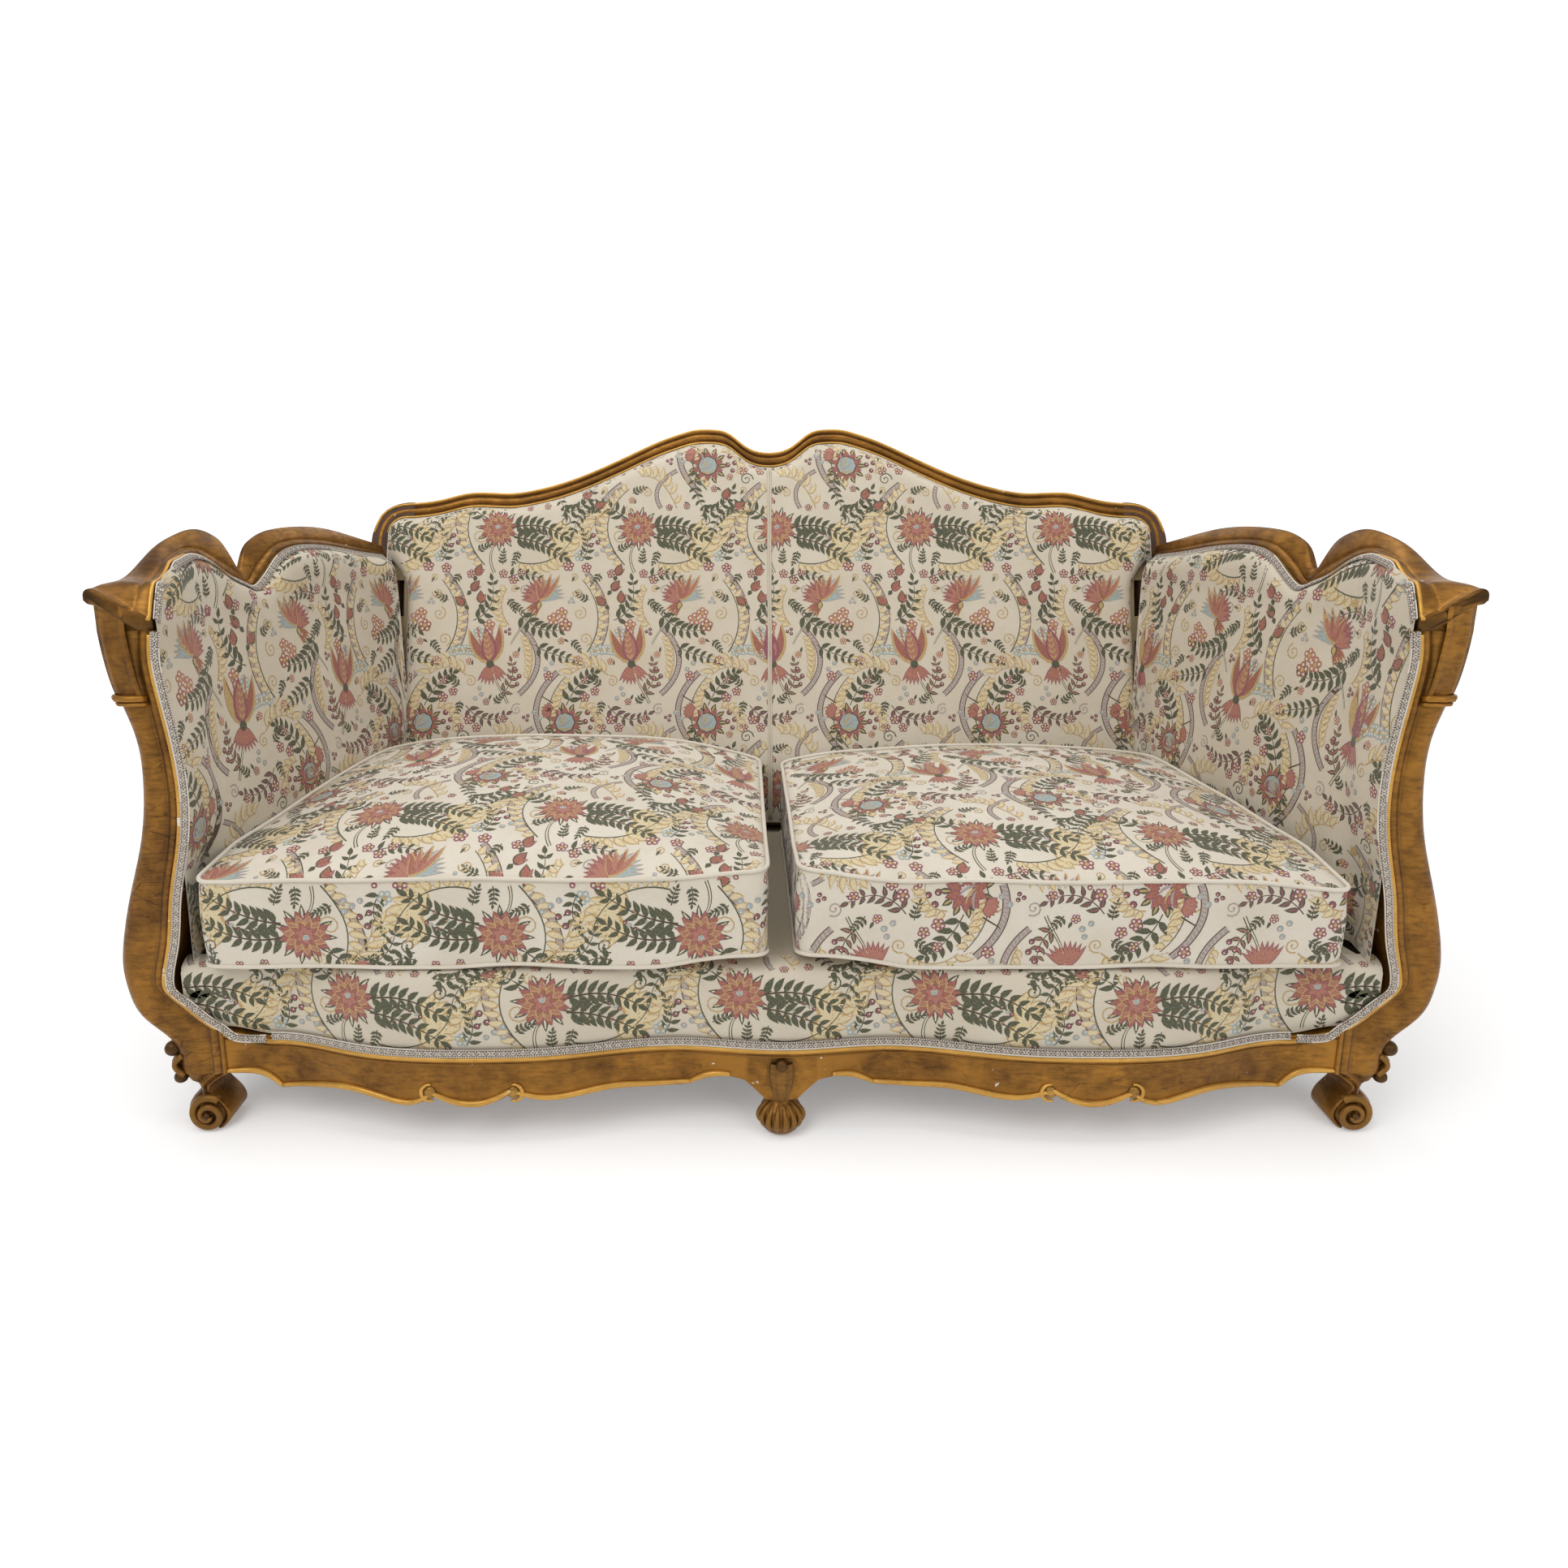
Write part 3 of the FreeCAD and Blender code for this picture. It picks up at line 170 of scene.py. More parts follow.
bow = Spline([(s * k * JOINT_X, d * RAIL_BOW) for k, d in BOW for s in (-1, 1) if k or s > 0])
CREST = [(0.0, 0.684), (0.07, 0.781), (0.115, 0.948), (0.163, 1.0), (0.208, 0.994),
         (0.254, 0.935), (0.30, 0.858), (0.392, 0.658), (0.483, 0.458), (0.574, 0.290),
         (0.667, 0.174), (0.72, 0.137), (0.85, 0.135), (0.896, 0.084), (0.96, 0.02), (1.0, 0.003)]
crest = Spline([(s * k * CREST_HALF, 516 + level * 155) for k, level in CREST for s in (-1, 1) if k or s > 0])
JOINT_V = crest(CREST_HALF)
FRONT_HUMP = [(0.0, 0, 14), (0.052, 3, 45), (0.184, 7, 74), (0.292, 23, 81), (0.41, 45, 85),
              (0.541, 59, 87), (0.666, 65, 74), (0.813, 53, 46), (0.918, 24, 32), (1.0, -6, 24)]
REAR_HUMP = [(0.04, 22, 31), (0.088, 40, 45), (0.142, 48, 62), (0.233, 53, 76), (0.384, 53, 77),
             (0.593, 44, 65), (0.779, 27, 50), (1.0, 4, 35), (1.15, -11, 22)]
ARM = ([(k * HUMP_LENGTH, a, b) for k, a, b in FRONT_HUMP]
       + [(HUMP_LENGTH + k * (ARM_LENGTH - HUMP_LENGTH), a, b) for k, a, b in REAR_HUMP])
arm_crest = Spline([(y, ARM_HEIGHT + a) for y, a, b in ARM])
arm_edge = Spline([(y, JOINT_Z + b) for y, a, b in ARM])
RAIL_EDGE = [
    [(1.0, 0.62), (0.978, 0.615), (0.945, 0.58), (0.910, 0.414)],
    [(0.910, 0.414), (0.847, 0.46), (0.773, 0.51), (0.706, 0.455), (0.650, 0.434), (0.620, 0.54)],
    [(0.620, 0.54), (0.577, 0.44), (0.528, 0.434), (0.479, 0.565)],
    [(0.479, 0.565), (0.429, 0.476), (0.368, 0.483), (0.307, 0.524), (0.233, 0.51), (0.164, 0.53)],
    [(0.164, 0.53), (0.128, 0.62), (0.092, 0.634)],
]


def arm_brim(y):
    return min(arm_edge(y), arm_crest(y) - 2)


def outer_x(z):
    return leg_outer(z)


def inner_x(z):
    if z <= low(0.62):
        return foot_inner(z)
    return JOINT_X if z <= rise(0.03) else post_inner(z)


def arm_outer(y):
    return HALF_SPAN - 127 * y / ARM_LENGTH


def arm_inner(y):
    end = 0.54 * HUMP_LENGTH
    start = HALF_SPAN - 82
    if y >= end:
        return arm_outer(y) - 28
    return start + (arm_outer(end) - 28 - start) * max(y, 0) / end


def back_y(z, forward=0.0):
    return BACK_Y + (z - BACK_Z) * TAN - forward / COS


def slope_v(z):
    return (z - BACK_Z) / COS


def on_back(u, v, w):
    return (u, BACK_Y + v * SIN - w * COS, BACK_Z + v * COS + w * SIN)


def side_x(y):
    return 892 - 86 * y / back_y(215)


def pad_line(y, z):
    seat = 851 - 123 * y / BACK_Y
    top = arm_inner(y) - 12 - 20 * y / ARM_LENGTH
    return seat + (top - seat) * min(max((z - 450) / 290, 0), 1)


def pad_inner(y, z):
    line = pad_line(y, z)
    beside = min(post_inner(z) - 5, line + 22)
    return beside + (line - beside) * smooth((y - POST_THICK) / 50)


def cover_x(y, z):
    foot = 150
    base = side_x(y) + 2.3
    top = arm_outer(y) - 10 + 2.3
    share = (z - foot) / (JOINT_Z - foot)
    straight = side_x(0) + (inset(10) - side_x(0)) * share
    belly = leg_outer(z) - 10 - straight
    return (base + (top - base) * share
            + belly * (1 - y / ARM_LENGTH) * min(1, 8 * share) * min(1, 8 * (1 - share)))


# Meshes

class Shape:
    """Points in millimetres, with faces, cloth coordinates and material slots."""

    def __init__(self):
        self.points, self.faces, self.uvs, self.slots = [], [], [], []

    def grid(self, rows, uvs=None, slot=0, wrap=False, flip=False, cap=False):
        start = len(self.points)
        wide = len(rows[0])
        for r, row in enumerate(rows):
            for c, point in enumerate(row):
                self.points.append(point)
                self.uvs.append(uvs[r][c] if uvs else (point[0], point[2]))
        for r in range(len(rows) - 1):
            for c in range(wide if wrap else wide - 1):
                d = (c + 1) % wide
                face = [start + r * wide + c, start + r * wide + d,
                        start + (r + 1) * wide + d, start + (r + 1) * wide + c]
                self.faces.append(face[::-1] if flip else face)
                self.slots.append(slot(r, c) if callable(slot) else slot)
        if cap:
            for r, turn in ((0, not flip), (len(rows) - 1, flip)):
                face = [start + r * wide + c for c in range(wide)]
                self.faces.append(face[::-1] if turn else face)
                self.slots.append(slot(r, 0) if callable(slot) else slot)

    def tube(self, points, radii, sides=10, closed=False, slot=0):
        points = [np.array(p, float) for p in points]
        count = len(points)
        if not hasattr(radii, "__len__"):
            radii = [radii] * count
        side = None
        rows = []
        for i, point in enumerate(points):
            ahead = points[(i + 1) % count] if closed else points[min(i + 1, count - 1)]
            behind = points[i - 1] if (closed or i) else points[0]
            heading = ahead - behind
            heading = heading / (np.linalg.norm(heading) + 1e-9)
            if side is None:
                side = np.cross(heading, (0, 0, 1) if abs(heading[2]) < 0.9 else (0, 1, 0))
            side = side - heading * np.dot(side, heading)
            side = side / (np.linalg.norm(side) + 1e-9)
            other = np.cross(heading, side)
            rows.append([tuple(point + radii[i] * (math.cos(a) * side + math.sin(a) * other))
                         for a in (2 * math.pi * k / sides for k in range(sides))])
        if closed:
            rows.append(rows[0])
        self.grid(rows, wrap=True, slot=slot, cap=not closed)

    def ball(self, centre, radius, squash=(1, 1, 1)):
        rows = []
        for i in range(11):
            angle = math.pi * (0.02 + 0.96 * i / 10)
            rows.append([(centre[0] + radius * squash[0] * math.sin(angle) * math.cos(a),
                          centre[1] + radius * squash[1] * math.sin(angle) * math.sin(a),
                          centre[2] + radius * squash[2] * math.cos(angle))
                         for a in (2 * math.pi * k / 16 for k in range(16))])
        self.grid(rows, wrap=True, cap=True)

    def sided(self, side):
        """The shape itself on the right, and its mirror image on the left."""
        if side > 0:
            return self
        other = Shape()
        other.points = [(-x, y, z) for x, y, z in self.points]
        other.faces = [face[::-1] for face in self.faces]
        other.uvs = [(-u, v) for u, v in self.uvs]
        other.slots = list(self.slots)
        return other

    def piece(self, name, materials, body="frame", slot=None, merge=0.00002, replaces=()):
        mesh = bpy.data.meshes.new(name)
        mesh.from_pydata([at(*p) for p in self.points], [], self.faces)
        layer = mesh.uv_layers.new(name="cloth")
        corners = np.zeros(len(mesh.loops), dtype=np.int32)
        mesh.loops.foreach_get("vertex_index", corners)
        layer.data.foreach_set("uv", (np.array(self.uvs, float)[corners] / 1000).ravel())
        for material in materials:
            mesh.materials.append(material)
        mesh.polygons.foreach_set("material_index", self.slots)
        mesh.polygons.foreach_set("use_smooth", [True] * len(mesh.polygons))
        obj = bpy.data.objects.new(name, mesh)
        bpy.context.scene.collection.objects.link(obj)
        work = bmesh.new()
        work.from_mesh(mesh)
        bmesh.ops.remove_doubles(work, verts=work.verts, dist=merge)
        work.to_mesh(mesh)
        work.free()
        mesh.update()
        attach(obj, body)
        if replaces:
            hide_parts(*replaces)
        return obj


# Materials

def colour(hex_code):
    values = [int(hex_code[i:i + 2], 16) / 255 for i in (0, 2, 4)]
    return tuple(v / 12.92 if v <= 0.04045 else ((v + 0.055) / 1.055) ** 2.4 for v in values) + (1.0,)


class Nodes:
    """Short names for a material's nodes."""

    def __init__(self, name, **fixed):
        self.material = bpy.data.materials.new(name)
        self.material.use_nodes = True
        self.tree = self.material.node_tree
        self.shader = self.tree.nodes["Principled BSDF"]
        for key, value in fixed.items():
            self.shader.inputs[key.replace("_", " ")].default_value = value

    def add(self, kind, inputs=None, **settings):
        node = self.tree.nodes.new(kind)
        for key, value in settings.items():
            setattr(node, key, value)
        for key, value in (inputs or {}).items():
            socket = node.inputs[key]
            if isinstance(value, bpy.types.NodeSocket):
                self.tree.links.new(value, socket)
            else:
                socket.default_value = value
        return node

    def maths(self, operation, a, b=0.0):
        return self.add("ShaderNodeMath", {0: a, 1: b}, operation=operation).outputs[0]

    def noise(self, vector, scale, detail=3.0, rough=0.55):
        return self.add("ShaderNodeTexNoise", {"Vector": vector, "Scale": scale, "Detail": detail,
                                               "Roughness": rough}).outputs["Fac"]

    def ramp(self, value, low, high, first=0.0, last=1.0):
        node = self.add("ShaderNodeValToRGB", {"Fac": value})
        for element, place, grey in zip(node.color_ramp.elements, (low, high), (first, last)):
            element.position = place
            element.color = (grey, grey, grey, 1)
        return node.outputs["Color"]

    def mix(self, share, a, b):
        node = self.add("ShaderNodeMix", data_type="RGBA")
        for index, value in ((0, share), (6, a), (7, b)):
            if isinstance(value, bpy.types.NodeSocket):
                self.tree.links.new(value, node.inputs[index])
            else:
                node.inputs[index].default_value = colour(value) if isinstance(value, str) else value
        return node.outputs[2]

    def bump(self, height, strength, distance, normal=None):
        inputs = {"Height": height, "Strength": strength, "Distance": distance}
        if normal is not None:
            inputs["Normal"] = normal
        return self.add("ShaderNodeBump", inputs).outputs["Normal"]

    def set(self, key, value):
        self.tree.links.new(value, self.shader.inputs[key])


def weave(n, thread, strength):
    """Ribs of thread at right angles, from the cloth's own coordinates."""
    cloth = n.add("ShaderNodeUVMap", uv_map="cloth").outputs["UV"]
    parts = n.add("ShaderNodeSeparateXYZ", {0: cloth})
    turn = 2 * math.pi / thread
    warp = n.maths("SINE", n.maths("MULTIPLY", parts.outputs[0], turn))
    weft = n.maths("SINE", n.maths("MULTIPLY", parts.outputs[1], turn * 0.7))
    height = n.maths("ADD", n.maths("MULTIPLY", warp, 0.5), n.maths("MULTIPLY", weft, 0.5))
    return cloth, height, n.bump(height, strength, 0.00025)


def ground_cloth(name, shade, dark):
    n = Nodes(name, Roughness=0.72, Sheen_Weight=0.25, Sheen_Roughness=0.4, Specular_IOR_Level=0.3)
    cloth, height, normal = weave(n, 0.0013, 0.35)
    broad = n.noise(cloth, 9.0, 4.0)
    fine = n.noise(cloth, 160.0, 2.0)
    base = n.mix(n.ramp(broad, 0.3, 0.72), shade, dark)
    thread = n.mix(n.maths("MULTIPLY", fine, 0.22), base, "B9AE9A")
    n.set("Base Color", n.mix(n.maths("MULTIPLY", n.maths("ADD", height, 1.0), 0.05), thread,
                              "8F8574"))
    puckers = n.bump(n.noise(cloth, 26.0, 3.0), 0.25, 0.002, normal)
    n.set("Normal", puckers)
    return n.material


def figure_thread(name, shade, other):
    """A woven colour of the figure, hatched with a second thread."""
    n = Nodes(name, Roughness=0.62, Sheen_Weight=0.2, Sheen_Roughness=0.4, Specular_IOR_Level=0.35)
    cloth, height, normal = weave(n, 0.0011, 0.5)
    mottled = n.noise(cloth, 420.0, 2.0, 0.7)
    share = n.ramp(n.maths("ADD", n.maths("MULTIPLY", height, 0.12), mottled), 0.42, 0.66)
    n.set("Base Color", n.mix(share, shade, other))
    n.set("Normal", normal)
    return n.material


def gilding(name, bright, deep, dirt, metal=0.55, rough=0.42, crack=0.8):
    """Old gold leaf over wood: rubbed to brown, cracked, with gesso showing in chips, with painted shade in
    its hollows and painted highlights on its convex edges.
    """
    n = Nodes(name, Metallic=metal, Specular_IOR_Level=0.35)
    place = n.add("ShaderNodeTexCoord").outputs["Object"]
    patches = n.noise(place, 11.0, 7.0, 0.68)
    rubbed = n.noise(place, 52.0, 6.0, 0.75)
    streak = n.add("ShaderNodeMapping", {"Vector": place, "Scale": (16.0, 16.0, 70.0)}).outputs[0]
    grain = n.noise(streak, 3.0, 4.0, 0.6)
    base = n.mix(n.ramp(patches, 0.34, 0.66), deep, bright)
    base = n.mix(n.ramp(grain, 0.45, 0.8, 0.0, 0.65), base, dirt)
    spots = n.ramp(rubbed, 0.60, 0.74, 0.0, 0.75)
    base = n.mix(spots, base, dirt)
    worn = n.add("ShaderNodeMapping", {"Vector": place, "Scale": (9.0, 9.0, 26.0)}).outputs[0]
    cell = n.add("ShaderNodeTexVoronoi", {"Vector": worn, "Scale": 1.6}, feature="DISTANCE_TO_EDGE")
    line = n.ramp(cell.outputs["Distance"], 0.0, 0.014, 1.0, 0.0)
    sparse = n.ramp(n.noise(place, 5.0, 2.0), 0.52, 0.6)
    line = n.maths("MULTIPLY", n.maths("MULTIPLY", line, sparse), crack)
    base = n.mix(line, base, "2A1C0E")
    edge = n.add("ShaderNodeNewGeometry").outputs["Pointiness"]
    # Painted shade: concave places (low pointiness) are darkened towards dark brown.
    base = n.mix(n.ramp(edge, 0.44, 0.495, 0.75, 0.0), base, "3A2710")
    # Painted highlight: convex edges (high pointiness) are lightened towards the bright gold.
    base = n.mix(n.ramp(edge, 0.515, 0.58, 0.0, 0.7), base, bright)
    chips = n.maths("MULTIPLY", n.ramp(n.noise(place, 34.0, 4.0, 0.6), 0.69, 0.705),
                    n.ramp(edge, 0.50, 0.53))
    n.set("Base Color", n.mix(chips, base, "D9D0BF"))
    n.set("Metallic", n.maths("MULTIPLY", n.maths("SUBTRACT", 1.0, chips), metal))
    worn = {"Value": rubbed, "From Min": 0.3, "From Max": 0.7, "To Min": rough - 0.1, "To Max": rough + 0.16}
    n.set("Roughness", n.add("ShaderNodeMapRange", worn).outputs[0])
    cuts = n.maths("SUBTRACT", n.maths("MULTIPLY", rubbed, 0.5), line)
    n.set("Normal", n.bump(cuts, 0.35, 0.0012))
    return n.material


def plain_wood(name, shade, dark, scale):
    n = Nodes(name, Roughness=0.62, Specular_IOR_Level=0.35)
    place = n.add("ShaderNodeTexCoord").outputs["Object"]
    long = n.add("ShaderNodeMapping", {"Vector": place, "Scale": scale}).outputs[0]
    grain = n.noise(long, 8.0, 6.0, 0.65)
    pores = n.noise(long, 60.0, 3.0, 0.6)
    base = n.mix(n.ramp(grain, 0.35, 0.68), shade, dark)
    n.set("Base Color", n.mix(n.maths("MULTIPLY", pores, 0.35), base, dark))
    n.set("Normal", n.bump(pores, 0.3, 0.0006))
    return n.material


def braid_thread(name, shade, dark):
    n = Nodes(name, Roughness=0.7, Sheen_Weight=0.2, Specular_IOR_Level=0.3)
    place = n.add("ShaderNodeTexCoord").outputs["Object"]
    twist = n.noise(place, 900.0, 2.0, 0.6)
    n.set("Base Color", n.mix(n.ramp(twist, 0.4, 0.7), shade, dark))
    n.set("Normal", n.bump(twist, 0.5, 0.0005))
    return n.material


CREAM = ground_cloth("damask_ground", "D2C8B6", "C7BCA7")
CUSHION_CREAM = ground_cloth("damask_cushion", "DBD3C4", "CFC5B4")
FIGURE = {
    "red": ("8B5243", "AA7565"), "salmon": ("AF7A69", "955C4D"), "blue": ("8D9C9C", "ADB5AE"),
    "gold": ("A98B58", "C6AC79"), "straw": ("CBB88F", "D9CBAA"), "green": ("3F4234", "6A684C"),
    "mauve": ("958680", "B1A49C"), "wine": ("7E4650", "9C666C"), "dark": ("463628", "5B4C3A"),
    "pale": ("D6CCB8", "C2B6A0"),
}
THREADS = [figure_thread("thread_" + key, a, b) for key, (a, b) in FIGURE.items()]
THREAD = {key: index for index, key in enumerate(FIGURE)}
GOLD = gilding("gilt_face", "A06F2A", "5C3A14", "2E1C0B", metal=0.62, rough=0.38)
# A brighter copy of the gilt for beads and raised edges: its lighter colour is a painted highlight.
GILT_PAINTED_HIGHLIGHT = gilding("gilt_edge_painted_highlight", "D3A14C", "98692A", "4A3014", metal=0.5, rough=0.34)
# A darker copy of the gilt for the small carvings: its darker colour is painted shade.
GILT_PAINTED_SHADE = gilding("gilt_carving_painted_shade", "8E6429", "533614", "22160A")
BEECH = plain_wood("beech_wood", "B58E63", "8A6540", (1.0, 6.0, 6.0))
WALNUT = plain_wood("stained_wood", "5A3C25", "382414", (5.0, 5.0, 0.9))
BRAID = [braid_thread("braid_cream", "D9D1C3", "B9AFA2"),
         braid_thread("braid_mauve", "8C7F74", "665A50"),
         braid_thread("braid_dark", "4C4440", "2F2A27")]
CALICO = ground_cloth("calico", "C9BFA9", "B8AD96")
BLACK_CLOTH = ground_cloth("dust_cloth", "4A4640", "3B3833")
WEBBING = ground_cloth("jute_webbing", "A58C62", "8C744D")


def steel():
    n = Nodes("spring_steel", Metallic=0.9, Specular_IOR_Level=0.5)
    place = n.add("ShaderNodeTexCoord").outputs["Object"]
    spots = n.noise(place, 120.0, 4.0)
    n.set("Base Color", n.mix(n.ramp(spots, 0.5, 0.7), "8C8983", "6A4A33"))
    n.set("Roughness", n.add("ShaderNodeMapRange", {"Value": spots, "To Min": 0.3, "To Max": 0.6}).outputs[0])
    return n.material


STEEL = steel()

# The woven figure: one repeat of flowers, plumes, sprays and scrolls, in millimetres

TILE_WIDE = 280.0
TILE_HIGH = 520.0


def bezier(a, b, c, d, count=14):
    out = []
    for i in range(count):
        t = i / (count - 1)
        s = 1 - t
        out.append(tuple(s ** 3 * a[k] + 3 * s * s * t * b[k] + 3 * s * t * t * c[k] + t ** 3 * d[k]
                         for k in (0, 1)))
    return out


def heading(points, i):
    a, b = points[max(i - 1, 0)], points[min(i + 1, len(points) - 1)]
    return math.atan2(b[1] - a[1], b[0] - a[0])


def around(x, y, reach, angle):
    return (x + reach * math.cos(angle), y + reach * math.sin(angle))


def stations(points, count, offset):
    """Places along a line: each one's share of the way, its point and the line's heading there."""
    for k in range(count):
        t = (k + offset) / count
        i = min(int(t * (len(points) - 1)), len(points) - 2)
        f = t * (len(points) - 1) - i
        yield (t, points[i][0] + f * (points[i + 1][0] - points[i][0]),
               points[i][1] + f * (points[i + 1][1] - points[i][1]), heading(points, i))


class Figure:
    """The woven figure: thin coloured faces, layer over layer, in the plane of the cloth."""

    def __init__(self):
        self.points, self.faces, self.threads = [], [], []

    def strip(self, spine, halves, thread, layer):
        start = len(self.points)
        lift = 0.16 + 0.07 * layer
        for i, (x, y) in enumerate(spine):
            a = heading(spine, i) + math.pi / 2
            for side in (-1, 1):
                self.points.append((*around(x, y, side * halves[i], a), lift))
        for i in range(len(spine) - 1):
            k = start + 2 * i
            self.faces.append((k, k + 2, k + 3, k + 1))
            self.threads.append(THREAD[thread])

    def leaf(self, x, y, angle, length, width, thread, vein=None, bend=0.0, layer=2, count=6):
        spine, halves = [], []
        for i in range(count + 1):
            t = i / count
            spine.append((x, y))
            halves.append(0.5 * width * math.sin(math.pi * t ** 0.75) + 0.05)
            heading_now = angle - bend / 2 + bend * t
            x += length / count * math.cos(heading_now)
            y += length / count * math.sin(heading_now)
        self.strip(spine, halves, thread, layer)
        if vein:
            self.strip(spine[:-1], [0.3 * h + 0.12 for h in halves[:-1]], vein, layer + 1)

    def lobe(self, x, y, angle, length, width, fill, edge, bend=0.0, layer=2):
        self.leaf(x, y, angle, length, width, edge, bend=bend, layer=layer)
        back = 0.08 * length
        self.leaf(*around(x, y, back, angle), angle, length * 0.84, width * 0.7,
                  fill, bend=bend, layer=layer + 1)

    def line(self, points, half, thread, layer=1):
        count = len(points)
        self.strip(points, [half * (1 - 0.5 * i / count) for i in range(count)], thread, layer)

    def disc(self, x, y, radius, thread, layer=3):
        start = len(self.points)
        lift = 0.16 + 0.07 * layer
        self.points += [(*around(x, y, radius, a), lift)
                        for a in (2 * math.pi * k / 8 for k in range(8))]
        self.faces.append(tuple(range(start, start + 8)))
        self.threads.append(THREAD[thread])

    def berry(self, x, y, radius, thread):
        self.disc(x, y, radius, "dark" if thread != "blue" else "mauve", 2)
        self.disc(x, y, radius * 0.74, thread, 3)
        self.disc(x + radius * 0.2, y + radius * 0.25, radius * 0.26, "pale", 4)

    def blossom(self, x, y, radius, thread="wine", heart="gold", petals=5, turn=0.3):
        for k in range(petals):
            a = turn + 2 * math.pi * k / petals
            self.disc(*around(x, y, 0.6 * radius, a), 0.46 * radius, thread, 2)
            self.disc(*around(x, y, 0.62 * radius, a), 0.2 * radius, "pale", 3)
        self.disc(x, y, 0.3 * radius, heart, 4)

    def spray(self, points, leaves, length, width, thread="green", vein=None, spread=0.9, half=0.8,
              layer=2):
        self.line(points, half, "dark", layer)
        for t, x, y, a in stations(points, leaves, 0.6):
            size = length * (1 - 0.45 * t)
            for side in (1, -1):
                self.leaf(x, y, a + side * spread, size, width * (1 - 0.35 * t), thread, vein,
                          bend=-0.5 * side, layer=layer, count=4)
        end = points[-1]
        self.leaf(end[0], end[1], heading(points, len(points) - 1), length * 0.7, width * 0.8, thread, vein,
                  layer=layer, count=4)

    def plume(self, points, lobes, length, width, side=1, lean=1.0):
        for t, x, y, way in stations(points, lobes, 0.5):
            size = length * (1 - 0.4 * abs(2 * t - 1) ** 1.6)
            a = way + side * lean
            self.lobe(x, y, a, size, width * 0.8, "straw", "gold", bend=-0.7 * side, layer=1)
            for share in (0.3, 0.5, 0.7):
                self.leaf(*around(x, y, share * size, a - 0.3 * side * share), a - 0.7 * side,
                          size * 0.2, 1.6, "gold", layer=3, count=2)
        self.line(points, 1.1, "green" if lobes > 8 else "gold", 3)

    def ribbon(self, points, half):
        self.strip(points, [half] * len(points), "dark", 0)
        self.strip(points, [half * 0.74] * len(points), "mauve", 1)
        for i in range(0, len(points) - 1):
            x, y = points[i]
            a = heading(points, i) + 1.1
            self.strip([(x - half * 0.6 * math.cos(a), y - half * 0.6 * math.sin(a)),
                        around(x, y, half * 0.6, a)], [0.35, 0.35], "pale", 2)

    def scroll(self, x, y, radius, turn, side=1, thread="gold", half=0.8):
        points = []
        for k in range(15):
            t = k / 14
            a = turn + side * 2 * math.pi * 1.4 * t
            r = radius * (1 - 0.82 * t)
            points.append(around(x, y, r, a))
        self.line(points, half, thread, 2)
        self.disc(points[-1][0], points[-1][1], 1.5 * half, thread, 3)

    def peony(self, x, y, radius, turn=0.0):
        for k in range(11):
            a = turn + 2 * math.pi * k / 11
            self.leaf(*around(x, y, 0.5 * radius, a), a, 0.64 * radius,
                      0.22 * radius, "green", "pale", layer=1, count=5)
        for ring, count, reach, size in ((0, 13, 0.42, 0.52), (1, 11, 0.28, 0.48),
                                         (2, 9, 0.14, 0.44), (3, 6, 0.02, 0.36)):
            fill, edge = (("red", "wine"), ("salmon", "gold"), ("red", "gold"), ("salmon", "wine"))[ring]
            for k in range(count):
                a = turn + 2 * math.pi * (k + 0.5 * ring) / count
                self.lobe(*around(x, y, reach * radius, a), a, size * radius,
                          0.3 * radius, fill, edge, bend=0.35, layer=3 + 2 * ring)
        for k in range(3):
            a = turn + math.pi / 2 - 0.5 + 0.5 * k
            self.lobe(x, y - 0.02 * radius, a, 0.24 * radius, 0.1 * radius, "blue", "pale", layer=11)

    def tulip(self, x, y, angle, size):
        for k in range(-4, 5):
            self.lobe(x, y, angle + math.pi + 0.2 * k, size * 0.48, size * 0.11, "salmon", "wine", layer=1)
        for k in range(6):
            a = angle + 0.55 + 0.1 * k
            r = size * (0.28 + 0.12 * k)
            self.blossom(*around(x, y, r, a), size * 0.12, "blue", "gold", 6, k)
        for side, bend in ((1, -0.8), (-1, 0.9)):
            self.lobe(x, y, angle + 0.32 * side, size * 0.98, size * 0.26, "red", "gold",
                      bend=bend * 0.8, layer=4)
            for k in range(5):
                r = size * (0.24 + 0.13 * k)
                turned = angle + side * (0.32 - 0.04 * k)
                self.leaf(*around(x, y, r, turned), angle + 0.3 * side, size * 0.16,
                          size * 0.05, "salmon", layer=5, count=3)
        self.lobe(x, y, angle, size * 0.86, size * 0.36, "salmon", "wine", bend=0.25, layer=6)
        for k in range(5):
            r = size * (0.12 + 0.13 * k)
            bx, by = around(x, y, r, angle)
            for side in (-1, 1):
                self.leaf(bx, by, angle + 0.6 * side, size * 0.13, size * 0.04, "gold", layer=9, count=3)
        self.disc(x, y, size * 0.09, "green", 9)

    def shell(self, x, y, size):
        for k in range(11):
            a = 2 * math.pi * k / 11
            self.leaf(*around(x, y, 0.36 * size, a), a, size * 0.3, size * 0.16,
                      "green", "gold", layer=1, count=4)
        for k in range(10):
            a = 2 * math.pi * (k + 0.5) / 10
            self.lobe(*around(x, y, 0.12 * size, a), a, size * 0.4, size * 0.24,
                      "red", "wine", layer=3)
        self.disc(x, y, size * 0.33, "dark", 5)
        self.disc(x, y, size * 0.30, "blue", 6)
        for k in range(4):
            a = 0.7 + 0.5 * k
            self.leaf(x - 0.22 * size, y - 0.18 * size + 0.05 * size * k, a - 0.5, size * 0.5, size * 0.06,
                      "mauve" if k % 2 else "gold", bend=1.1, layer=7, count=5)
        for k in range(6):
            a = 2.6 + 0.34 * k
            self.lobe(x + 0.5 * size * math.cos(2.6), y + 0.34 * size, a - 0.6, size * 0.34, size * 0.2,
                      "salmon", "wine", layer=4)

